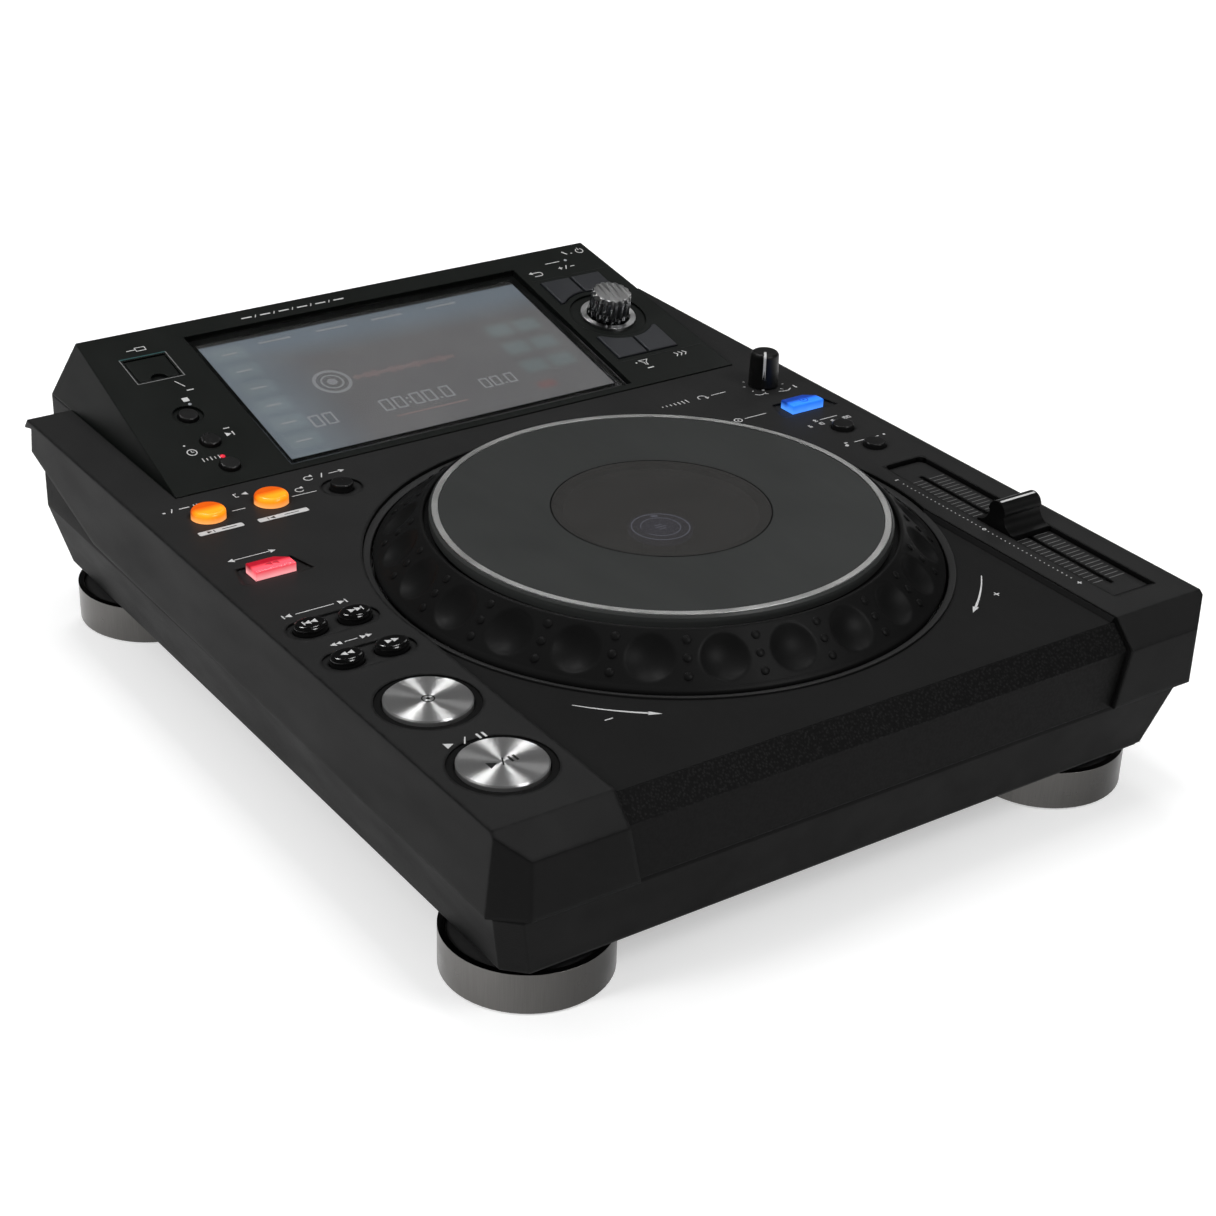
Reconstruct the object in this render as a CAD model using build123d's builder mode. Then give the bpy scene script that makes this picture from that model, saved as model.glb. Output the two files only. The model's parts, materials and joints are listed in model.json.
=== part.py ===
from build123d import *
import math
import os

# A tabletop media player for live mixing, as separate pieces.
# Millimetres: X to the right, Y to the back, Z up. The origin is the middle of the
# footprint, on the surface that the feet stand on.

# Overall sizes
body_width = 306.0  # across the lower edge of the side bands
side_draw_in = 2.0  # how much each side band leans in up to the deck
body_depth = 384.4
deck_height = 82.0
wedge_depth = 118.2  # of the screen housing
overrun = 5.0  # how far a cut runs past what it cuts
touch_gap = 0.3  # between pieces that move past each other
seat_gap = 0.1  # between a piece and the pocket that holds it
running_gap = 0.05  # radial play of a shaft in its bore
deck_width = body_width - 2 * side_draw_in
deck_depth = body_depth - wedge_depth
front_y = -body_depth / 2
rear_y = body_depth / 2
wedge_front_y = rear_y - wedge_depth

# Upper case
case_skin = 2.2
bevel_run = 9.2
bevel_drop = 9.2
corner_cut = 11.0
front_fold_height = 50.5  # lower edge of the front
side_fold_height = 53.8  # lower edge of the side bands, where they start to rise
fold_rise_from_rear = 84.7
cheek_from_rear = 23.8
cheek_rear_height = 69.6
shoulder_from_rear = 19.9
lip_reach = 3.1
lip_drop = 4.4
lip_root_drop = 2.6
hood_from_side = 21.0
hood_low_height = 47.0
hood_edge = 6.0  # deck left standing behind the opening under the screen
bevel_angle = math.atan2(bevel_drop, bevel_run)
side_lean = (body_width - deck_width) / 2 / (deck_height - front_fold_height)
hood_width = body_width - 2 * hood_from_side
fold_rise_y = rear_y - fold_rise_from_rear
cheek_y = rear_y - cheek_from_rear
shoulder_y = rear_y - shoulder_from_rear
deck_underside = deck_height - case_skin
deck = Plane.XY.offset(deck_height)

# Lower case and base plate
tub_inset = 5.0
tub_front_inset = 5.7
tub_wall = 2.3
tub_gap = 0.7
tub_block_gap = 5.5
tub_corner_cut = 7.0
tub_break_height = 46.0
tub_top_drop = 6.3  # how far below the deck's underside the walls end
tub_slope_inset = 6.5
tub_front_drop = 11.5  # how far below the deck the front wall ends, under the bevel
flange_width = 12.0
flange_thickness = 2.5
jack_setback = 12.2  # from the hood's rear edge to the rear wall
base_height = 20.0
base_sheet = 1.2
base_margin = 1.0
standoff_height = 6.8
standoff_radius = 3.0
tub_low_height = base_height + base_sheet
flange_top = tub_low_height + flange_thickness
rear_wall_y = rear_y - jack_setback

# Case screws and the bosses that they hold
boss_from_edge = 17.0
boss_radius = 4.0
pilot_radius = 1.6
pilot_depth = 14.0
screw_radius = 1.5
screw_length = 14.0
screw_head_radius = 3.2
screw_head_height = 2.2
left_mid_boss_share = 0.8272
right_front_boss_from_front = 18.7
right_front_boss_shift = 9.0
right_mid_boss_from_wedge = 6.0
rear_boss_from_rear = 76.2
boss_x = deck_width / 2 - boss_from_edge

# Feet
foot_from_side = 37.3
foot_front_inset = 42.5
foot_rear_inset = 52.4
foot_ring_radius = 29.8
foot_ring_wall = 2.4
foot_ring_height = 16.0
foot_lip_height = 0.8
foot_lip_width = 1.3
foot_neck_radius = 20.0
foot_neck_height = 15.2
foot_x = body_width / 2 - foot_from_side
foot_places = [
    (side * foot_x, y)
    for side in (-1, 1)
    for y in (front_y + foot_front_inset, rear_y - foot_rear_inset)
]

# Centre panel and front trim, both sunk by the skin of the case
jog_x = 2.8
well_front_margin = 29.3
well_rear_margin = 18.1
well_bulge = 1.8
jog_hole_inset = 2.9
strip_shift = 1.3
column_width = 43.4  # of the deck beside the strip
strip_draw_in = 6.0  # how much the trim narrows down to the fold on each side
panel_flange = 2.0
panel_thickness = 2.4
trim_thickness = 2.0
seam_gap = 0.2
strip_half_width = deck_width / 2 - column_width
well_room = (deck_depth - well_front_margin - well_rear_margin) / 2
well_radius = min(strip_half_width + well_bulge, well_room)
jog_hole_radius = well_radius - jog_hole_inset
jog_y = front_y + well_front_margin + well_radius
strip_x = jog_x - strip_shift

# Jog wheel, from the chassis up
pan_height = 62.0
pan_sheet = 1.6
pan_wall_margin = 0.6
spindle_radius = 6.0
spindle_foot_radius = 8.0
spindle_foot_height = 2.4
spindle_top = 88.0
bearing_radius = 10.5
bearing_width = 5.0
hub_radius = 15.0
hub_overhang = 0.5
hub_lip_radius = 8.5
web_height = 72.0
web_thickness = 2.5
rim_inset = 3.8
rim_skirt_inset = 4.6
rim_low_height = 78.5
rim_edge_height = 80.5
rim_edge_run = 1.6
rim_slope_low_height = 81.5
rim_slope_run = 15.4
rim_slope_top_height = 95.3
rim_crest = 1.4
groove_floor_height = 92.5
plate_seat_height = 94.0
groove_width = 3.0
plate_seat_width = 5.2
dimple_count = 24
dimple_first_angle = 7.5
dimple_radius = 8.4
dimple_ball_radius = 14.0
plate_overhang = 1.0
plate_top_height = 98.2
plate_edge_bevel = 0.8
ring_from_edge = 1.1
ring_width = 2.3
ring_height = 1.3
ring_proud = 0.3
window_share = 0.4777
window_thickness = 1.5
window_ledge = 4.5
small_display_radius = 12.0
small_display_thickness = 2.0
pan_wall_radius = well_radius + pan_wall_margin
rim_radius = well_radius - rim_inset
rim_skirt_radius = rim_radius - rim_skirt_inset
rim_slope_low_radius = rim_radius - rim_edge_run
rim_slope_top_radius = rim_slope_low_radius - rim_slope_run
groove_outer_radius = rim_slope_top_radius - rim_crest
plate_seat_outer_radius = groove_outer_radius - groove_width
plate_seat_inner_radius = plate_seat_outer_radius - plate_seat_width
plate_radius = plate_seat_outer_radius + plate_overhang
ring_outer_radius = plate_radius - ring_from_edge
ring_inner_radius = ring_outer_radius - ring_width
window_radius = plate_radius * window_share
bearing_low = pan_height + pan_sheet + spindle_foot_height
bearing_top = bearing_low + bearing_width
jog_axis = Axis((jog_x, jog_y, 0), (0, 0, 1))
jog_section = Plane(origin=(jog_x, jog_y, 0), x_dir=(1, 0, 0), z_dir=(0, -1, 0))

# Keys: a cap through the case, held under it by a flange
key_gap = 0.3
key_flange = 0.8
key_flange_thickness = 1.5
key_travel = 1.2
disc_travel = 1.1
key_crown = 0.6
dome_crown = 1.6
pad_crown = 0.3

# Deck keys: the shares are of the deck's depth, from the front
left_column_from_edge = 23.0
right_column_from_edge = 20.0
play_share = 0.1473
cue_share = 0.3193
search_share = 0.4624
track_share = 0.5593
pair_spacing = 17.4
pair_shift = 0.3
direction_share = 0.7348
loop_from_wedge = 20.0
loop_out_from_edge = 49.2
reloop_from_edge = 78.3
reloop_from_wedge = 22.3
jog_mode_share = 0.8114
tempo_range_share = 0.71
master_tempo_share = 0.6334
oval_width = 12.6
oval_depth = 9.6
oval_rise = 2.6
pair_well_width = 35.0
pair_well_depth = 13.6
shallow_well = 0.8
lit_round_radius = 6.6
lit_round_rise = 3.6
small_round_radius = 4.5
small_round_rise = 2.2
reloop_well_radius = 8.0
bar_width = 16.0
bar_depth = 8.2
bar_cut_width = 5.0
bar_cut_depth = 3.2
bar_rise = 2.8
bar_well_width = 28.0
bar_well_far_width = 22.0
bar_well_depth = 12.6
disc_share = 0.05635
disc_rise = 1.2
disc_gap = 0.4
disc_crown = 0.5
disc_flange = 1.5
transport_ring_width = 2.9
transport_ring_flange = 1.1
transport_ring_sink = 0.5
transport_ring_depth = 3.6
play_from_front = play_share * deck_depth
cue_from_front = cue_share * deck_depth
disc_radius = disc_share * deck_depth
transport_ring_radius = disc_radius + transport_ring_width
left_column_x = -(deck_width / 2 - left_column_from_edge)
right_column_x = deck_width / 2 - right_column_from_edge
transport_places = {
    "play_button": (left_column_x, front_y + play_from_front),
    "cue_button": (left_column_x, front_y + cue_from_front),
}

boss_places = [
    (-boss_x, front_y + (play_from_front + cue_from_front) / 2),
    (-boss_x, front_y + left_mid_boss_share * deck_depth),
    (-boss_x, rear_y - rear_boss_from_rear),
    (boss_x - right_front_boss_shift, front_y + right_front_boss_from_front),
    (boss_x, wedge_front_y - right_mid_boss_from_wedge),
    (boss_x, rear_y - rear_boss_from_rear),
]

# Key boards under the deck
board_thickness = 1.6
board_drop = 5.6  # from the underside of the deck to the board
board_post_radius = 2.5
switch_side = 6.0
left_board_width = 30.0
left_board_front_margin = 20.2
left_board_rear_margin = 8.0
left_board_arm_depth = 23.0
left_board_arm_reach = 51.0
right_board_width = 25.0
right_board_share = 0.3982
right_board_front_share = 0.5868
post_beside_tracks_share = 0.6394
post_beside_cue_shift = 12.0
post_between_loops_from_wedge = 16.0
post_beside_reloop_shift = 14.5
right_post_shift = 10.0
right_post_share = 0.8565
right_front_post_shift = 8.5
right_front_post_share = 0.7626
right_board_depth = right_board_share * deck_depth
board_top = deck_underside - board_drop
# A switch ends where a pressed key still clears it
switch_height = board_drop - touch_gap - key_flange_thickness - key_travel - touch_gap
disc_low = deck_height - transport_ring_sink - transport_ring_depth - touch_gap
disc_switch_height = disc_low - key_flange_thickness - disc_travel - touch_gap - board_top

# Speed knob and its potentiometer
speed_knob_from_wedge = 24.4
speed_knob_from_edge = 20.9
speed_knob_radius = 6.0
speed_knob_base_radius = 6.4
speed_knob_height = 15.0
speed_knob_lift = 0.6
speed_knob_crown = 1.8
speed_shaft_radius = 3.0
speed_shaft_depth = 6.5
pot_side = 12.0
pot_height = 4.0
pot_bush_radius = 4.5
pot_floor = 1.0

# Tempo fader
fader_from_edge = 20.5
fader_share = 0.3227  # of the deck's depth, from the front
fader_well_width = 20.0
fader_well_rear_room = 14.8
fader_well_front_room = 11.0
fader_ramp = 4.0
fader_travel_share = 0.37566
scale_plate_thickness = 1.5
scale_plate_flange = 1.5
stem_width = 1.4
stem_depth = 6.0
slot_gap = 0.3
slider_width = 5.8
slider_depth = 16.0
slider_height = 7.8
slider_lift = 0.4
fader_body_width = 14.0
fader_body_height = 12.0
fader_body_floor = 2.2
fader_end_wall = 2.0
fader_end_play = 1.0
cap_width = 18.8
cap_depth = 20.0
cap_lift = 0.6
cap_height = 12.6
cap_skirt = 2.0
cap_neck_share = 0.62
cap_neck_half = 3.9
cap_top_half = 4.4
cap_flank_sag = 1.2
stem_reach = 5.6  # how far the stem goes up into the cap
fader_x = deck_width / 2 - fader_from_edge
fader_y = front_y + fader_share * deck_depth
fader_travel = fader_travel_share * deck_depth
fader_well_rear = fader_travel / 2 + fader_well_rear_room
fader_well_front = fader_travel / 2 + fader_well_front_room

# Screen housing
wedge_lip = 0.5
wedge_seat = 1.2
wedge_back_run = 10.2
wedge_top_height = 106.2
wedge_side_lean = 8.0
wedge_skin = 2.6
opening_flange = 4.0
wedge_top_width = hood_width - 2 * wedge_side_lean
wedge_top_y = rear_y - wedge_back_run
slope_start = deck_height + wedge_lip
slope_angle = math.atan2(wedge_top_height - slope_start, wedge_top_y - wedge_front_y)
back_lean = wedge_back_run / (wedge_top_height - deck_height)
wedge_lean = (hood_width - wedge_top_width) / 2 / (wedge_top_height - deck_height)
slope = Plane(
    origin=(0, wedge_front_y, slope_start),
    x_dir=(1, 0, 0),
    z_dir=(0, -math.sin(slope_angle), math.cos(slope_angle)),
)

# Display and glass, measured along the slope from the front edge
display_from_side = 55.0
display_gap = 0.3  # from the glass to the display
display_depth = 86.0
display_along = 53.0
glass_overlap = 3.7
glass_depth = 95.9
glass_along = 51.75
glass_sink = 2.2
glass_thickness = 1.2
glass_ledge = 2.0
frame_margin = 4.0
frame_front_margin = 1.9
module_margin = 4.0
module_rear_margin = 3.5
module_thickness = 4.5
display_width = hood_width - 2 * display_from_side
glass_width = display_width + 2 * glass_overlap
ledge_depth = glass_sink + glass_thickness

# USB port and its flap
usb_from_side = 29.2
usb_along = 83.6
usb_well_width = 18.4
usb_well_depth = 16.4
usb_well_sink = 1.8
flap_width = 17.6
flap_length = 14.8
flap_thickness = 1.4
flap_hinge_from_edge = 1.1
flap_notch_radius = 3.6
flap_pin_radius = 0.5
flap_pin_reach = 1.2
port_width = 14.6
port_height = 7.2
port_depth = 14.0
port_mouth_width = 12.5
port_mouth_height = 5.1
port_mouth_depth = 11.0
tongue_width = 11.1
tongue_thickness = 1.9
tongue_sink = 2.0
usb_x = usb_from_side - hood_width / 2
flap_depth = touch_gap + flap_thickness / 2
hinge_along = usb_along + usb_well_depth / 2 - flap_hinge_from_edge

# Slope keys
slope_column_from_side = 28.5
usb_stop_along = 48.3
time_mode_along = 28.5
quantize_along = 11.4
slope_round_radius = 4.0
slope_round_rise = 1.6
usb_stop_rise = 0.4
usb_stop_well_radius = 6.2
usb_stop_well_sink = 1.2

slope_column_x = slope_column_from_side - hood_width / 2

# Selector and the pads round it
selector_from_side = 30.3
selector_along = 53.3
dish_radius = 17.0
dish_sink = 0.9
pad_inner_radius = 19.8
pad_half_width = 15.4
pad_reach = 32.0
pad_tip = 14.5  # where the pads' tips end beside the dish
pad_gap = 1.2
pad_rise = 0.8
encoder_side = 12.4
encoder_depth = 8.0
encoder_bush_radius = 4.4
encoder_bush_rise = 0.2
selector_shaft_radius = 3.0
selector_shaft_rise = 7.6
encoder_floor = 1.4
selector_travel = 0.8
selector_end_gap = 0.4
knob_lift = 1.4
knob_top = 12.0
knob_base_radius = 9.3
knob_top_radius = 8.8
knob_crown = 0.5
flute_count = 16
flute_radius = 1.1
selector_x = hood_width / 2 - selector_from_side
# The shaft ends where it can still be pressed in
selector_shaft_depth = wedge_skin + encoder_depth - encoder_floor - selector_travel - selector_end_gap
selector = Plane(slope.from_local_coords((selector_x, selector_along, 0)), slope.x_dir, slope.z_dir)

# Rear panel and what it holds
rear_panel_from_side = 12.0
rear_panel_low = 26.0
rear_panel_high = 72.0
rear_panel_sheet = 1.5
rear_window_margin = 3.0
rear_panel_width = hood_width - 2 * rear_panel_from_side
rear_half = rear_panel_width / 2
rear_face_y = rear_wall_y + rear_panel_sheet
inlet_share = 0.6  # of half the panel, from the middle
inlet_height = 46.0
inlet_width = 22.0
inlet_tall = 13.0
inlet_flange = 2.0
inlet_flange_thickness = 1.5
inlet_depth = 16.0
inlet_mouth_width = 17.0
inlet_mouth_tall = 9.0
inlet_mouth_depth = 13.0
inlet_pin_radius = 1.2
inlet_pin_spacing = 8.6
inlet_pin_sink = 2.0
network_share = -0.3
network_width = 16.2
network_tall = 13.4
network_depth = 18.0
network_mouth_width = 11.9
network_mouth_tall = 8.4
network_mouth_depth = 12.0
network_proud = 0.8
usb_b_share = -0.05
usb_b_width = 12.0
usb_b_tall = 11.0
usb_b_depth = 16.0
usb_b_mouth_width = 8.6
usb_b_mouth_tall = 7.9
usb_b_mouth_depth = 9.0
usb_b_tongue_width = 5.6
usb_b_tongue_tall = 3.2
usb_b_tongue_sink = 1.5
usb_b_proud = 0.8
line_out_share = -0.63333
line_out_spacing = 16.0
line_out_block_width = 11.0
line_out_block_tall = 13.0
line_out_block_depth = 12.0
line_out_collar_radius = 5.0
line_out_shell_radius = 4.15
line_out_shell_length = 8.7
line_out_bore_radius = 1.7
line_out_bore_depth = 8.0
power_button_from_side = 14.0
power_button_height = 58.0
power_button_radius = 5.5
power_button_proud = 3.0
power_button_flange = 1.2
power_button_flange_thickness = 1.8

# Boards in the base
main_board_from_side = 16.0
main_board_share = 0.5333
main_board_depth = 107.0
main_board_rear_gap = 3.0
power_board_from_side = 8.0
power_board_share = 0.3167
power_board_depth = 76.0
power_board_rear_gap = 20.0
board_corner = 11.0
chip_side = 22.0
chip_height = 2.4
heat_sink_width = 40.0
heat_sink_depth = 24.0
heat_sink_height = 12.0
transformer_width = 34.0
transformer_depth = 30.0
transformer_height = 26.0
capacitor_radius = 8.0
capacitor_height = 24.0
capacitor_shift = 22.0
main_board_left = main_board_from_side - rear_half
main_board_width = main_board_share * rear_panel_width
power_board_width = power_board_share * rear_panel_width
power_board_left = rear_half - power_board_from_side - power_board_width
board_low = tub_low_height + standoff_height
board_face = board_low + board_thickness
main_board_rear = rear_wall_y - tub_wall - main_board_rear_gap
power_board_rear = rear_wall_y - power_board_rear_gap
main_board_x = main_board_left + main_board_width / 2
main_board_y = main_board_rear - main_board_depth / 2
power_board_x = power_board_left + power_board_width / 2
power_board_y = power_board_rear - power_board_depth / 2


def keep(builder, label):
    builder.part.label = label
    export_step(builder.part, f"parts/{label}.step")


def block(low, high, mode=Mode.ADD):
    # A box between two corners
    size = [b - a for a, b in zip(low, high)]
    with Locations(low):
        Box(*size, align=(Align.MIN, Align.MIN, Align.MIN), mode=mode)


def bevel_low(inset):
    # Where the front turns into the bevel, in the side view
    turn = (math.pi / 2 - bevel_angle) / 2
    return (front_y + inset, deck_height - bevel_drop - inset * math.tan(turn))


def bevel_top(inset):
    # Where the bevel turns into the deck, in the side view
    return (front_y + bevel_run + inset * math.tan(bevel_angle / 2), deck_height - inset)


panel_front_y = bevel_top(case_skin)[0]


def centre_outline(grow, front):
    # The round well and the strip that runs from it to the front
    with Locations((jog_x, jog_y)):
        Circle(well_radius + grow)
    with Locations((strip_x, (jog_y + front) / 2)):
        Rectangle(2 * (strip_half_width + grow), jog_y - front)


def round_outline(radius):
    def draw(grow):
        Circle(radius + grow)

    return draw


def oval_outline(width, depth):
    def draw(grow):
        Ellipse(width / 2 + grow, depth / 2 + grow)

    return draw


def bar_outline(width, depth):
    def draw(grow):
        half_width = width / 2 + grow
        half_depth = depth / 2 + grow
        Polygon(
            (-half_width, -half_depth),
            (half_width, -half_depth),
            (half_width, half_depth - bar_cut_depth),
            (half_width - bar_cut_width, half_depth),
            (-half_width, half_depth),
            align=None,
        )

    return draw


def pad_outline(side_x, side_y):
    # A pad beside the selector: a rectangle with the dish's arc taken out
    def draw(grow):
        inner = pad_gap / 2 - min(grow, key_gap)
        width = pad_half_width + grow - inner
        height = pad_reach - pad_tip + 2 * grow
        with Locations((side_x * (inner + width / 2), side_y * (pad_reach + pad_tip) / 2)):
            Rectangle(width, height)
        Circle(pad_inner_radius - grow, mode=Mode.SUBTRACT)

    return draw


class Key:
    # A push button on a face of the case
    def __init__(self, label, face, skin, place, outline, rise, crown, round_edge):
        self.label = label
        self.face = face
        self.skin = skin
        self.place = place
        self.outline = outline
        self.rise = rise
        self.crown = crown
        self.round_edge = round_edge


def key_sketch(key, depth, grow):
    # The key's outline, grown, at a depth below the face that it sits in
    with BuildSketch(key.face.offset(-depth)) as outline:
        with Locations(key.place):
            key.outline(grow)
    return outline.sketch


def make_key(key):
    flange_depth = key.skin + touch_gap
    with BuildPart() as cap:
        extrude(key_sketch(key, flange_depth, 0), amount=flange_depth + key.rise)
        top = cap.faces().sort_by(Axis(key.face.origin, key.face.z_dir))[-1]
        key.round_edge(top.edges(), key.crown)
        extrude(key_sketch(key, flange_depth, key_flange), amount=-key_flange_thickness)
    keep(cap, key.label)


def key_hole(key):
    extrude(key_sketch(key, key.skin + overrun, key_gap), amount=key.skin + 2 * overrun, mode=Mode.SUBTRACT)


def deck_key(label, place, outline, rise, crown):
    return Key(label, deck, case_skin, place, outline, rise, crown, fillet)


def slope_key(label, place, outline, rise, crown, round_edge=fillet):
    return Key(label, slope, wedge_skin, place, outline, rise, crown, round_edge)


pair_x = left_column_x - pair_shift
pair_left_x = pair_x - pair_spacing / 2
pair_right_x = pair_x + pair_spacing / 2
track_y = front_y + track_share * deck_depth
search_y = front_y + search_share * deck_depth
direction_place = (left_column_x, front_y + direction_share * deck_depth)
jog_mode_place = (right_column_x, front_y + jog_mode_share * deck_depth)
loop_y = wedge_front_y - loop_from_wedge
reloop_place = (-(deck_width / 2 - reloop_from_edge), wedge_front_y - reloop_from_wedge)
loop_out_place = (-(deck_width / 2 - loop_out_from_edge), loop_y)
tempo_range_place = (right_column_x, front_y + tempo_range_share * deck_depth)
master_tempo_place = (right_column_x, front_y + master_tempo_share * deck_depth)
usb_stop_place = (slope_column_x, usb_stop_along)
speed_knob_place = (deck_width / 2 - speed_knob_from_edge, wedge_front_y - speed_knob_from_wedge)
oval = oval_outline(oval_width, oval_depth)
lit_round = round_outline(lit_round_radius)
small_round = round_outline(small_round_radius)
bar = bar_outline(bar_width, bar_depth)
slope_round = round_outline(slope_round_radius)
deck_keys = [
    deck_key("track_back_button", (pair_left_x, track_y), oval, oval_rise, dome_crown),
    deck_key("track_forward_button", (pair_right_x, track_y), oval, oval_rise, dome_crown),
    deck_key("search_back_button", (pair_left_x, search_y), oval, oval_rise, dome_crown),
    deck_key("search_forward_button", (pair_right_x, search_y), oval, oval_rise, dome_crown),
    deck_key("direction_button", direction_place, bar, bar_rise, key_crown),
    deck_key("loop_in_button", (left_column_x, loop_y), lit_round, lit_round_rise, dome_crown),
    deck_key("loop_out_button", loop_out_place, lit_round, lit_round_rise, dome_crown),
    deck_key("reloop_button", reloop_place, small_round, small_round_rise, key_crown),
    deck_key("jog_mode_button", jog_mode_place, bar, bar_rise, key_crown),
    deck_key("tempo_range_button", tempo_range_place, small_round, small_round_rise, key_crown),
    deck_key("master_tempo_button", master_tempo_place, small_round, small_round_rise, key_crown),
]
slope_keys = [
    slope_key("usb_stop_button", usb_stop_place, slope_round, usb_stop_rise, key_crown),
    slope_key(
        "time_mode_button", (slope_column_x, time_mode_along), slope_round, slope_round_rise, key_crown
    ),
    slope_key(
        "quantize_button", (slope_column_x, quantize_along), slope_round, slope_round_rise, key_crown
    ),
]
pad_labels = {
    "back_button": (-1, 1),
    "tag_button": (1, 1),
    "filter_button": (-1, -1),
    "shortcut_button": (1, -1),
}
for pad_label, pad_sides in pad_labels.items():
    pad_place = (selector_x, selector_along)
    pad = pad_outline(*pad_sides)
    slope_keys.append(slope_key(pad_label, pad_place, pad, pad_rise, pad_crown, chamfer))

os.makedirs("parts", exist_ok=True)


# Upper case
def front_view(inset):
    low = front_fold_height - overrun
    high = deck_height + overrun
    low_half = body_width / 2 - inset + side_lean * overrun
    high_half = deck_width / 2 - inset - side_lean * overrun
    return [(-low_half, low), (low_half, low), (high_half, high), (-high_half, high)]


def plan_view(inset):
    half = body_width / 2 - inset
    front = front_y + inset
    return [
        (-half, rear_y),
        (-half, front + bevel_run),
        (corner_cut - half, front),
        (half - corner_cut, front),
        (half, front + bevel_run),
        (half, rear_y),
    ]


def case_form(side_points, inset):
    # What the side, front and plan outlines have in common
    with BuildPart() as form:
        with BuildSketch(Plane.YZ):
            Polygon(*side_points, align=None)
        extrude(amount=body_width / 2, both=True)
        with BuildSketch(Plane.XZ):
            Polygon(*front_view(inset), align=None)
        extrude(amount=body_depth / 2, both=True, mode=Mode.INTERSECT)
        with BuildSketch(Plane.XY):
            Polygon(*plan_view(inset), align=None)
        extrude(amount=deck_height, mode=Mode.INTERSECT)
    return form.part


case_low = front_fold_height - overrun
outer_side = [
    (front_y, front_fold_height),
    bevel_low(0),
    bevel_top(0),
    (shoulder_y, deck_height),
    (shoulder_y + lip_reach, deck_height - lip_drop),
    (cheek_y, deck_height - lip_root_drop),
    (cheek_y, cheek_rear_height),
    (fold_rise_y, side_fold_height),
]
cavity_side = [
    (front_y + case_skin, case_low),
    bevel_low(case_skin),
    bevel_top(case_skin),
    (cheek_y - case_skin, deck_underside),
    (cheek_y - case_skin, case_low),
]
hood_half = hood_width / 2
hood_inner_half = hood_half - case_skin
opening_half = hood_half - opening_flange
fader_well_half = fader_well_width / 2
fader_well_front_y = fader_y - fader_well_front
trim_window = [
    (strip_x - strip_half_width, deck_height + overrun),
    (strip_x - strip_half_width, deck_height - bevel_drop),
    (strip_x - strip_half_width + strip_draw_in, front_fold_height - overrun),
    (strip_x + strip_half_width - strip_draw_in, front_fold_height - overrun),
    (strip_x + strip_half_width, deck_height - bevel_drop),
    (strip_x + strip_half_width, deck_height + overrun),
]
board_posts = [
    (left_column_x, front_y + post_beside_tracks_share * deck_depth),
    (left_column_x + post_beside_cue_shift, front_y + (play_from_front + cue_from_front) / 2),
    ((left_column_x + loop_out_place[0]) / 2, wedge_front_y - post_between_loops_from_wedge),
    (reloop_place[0] - post_beside_reloop_shift, wedge_front_y - post_between_loops_from_wedge),
    (right_column_x - right_post_shift, front_y + right_post_share * deck_depth),
    (right_column_x + right_front_post_shift, front_y + right_front_post_share * deck_depth),
]
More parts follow.
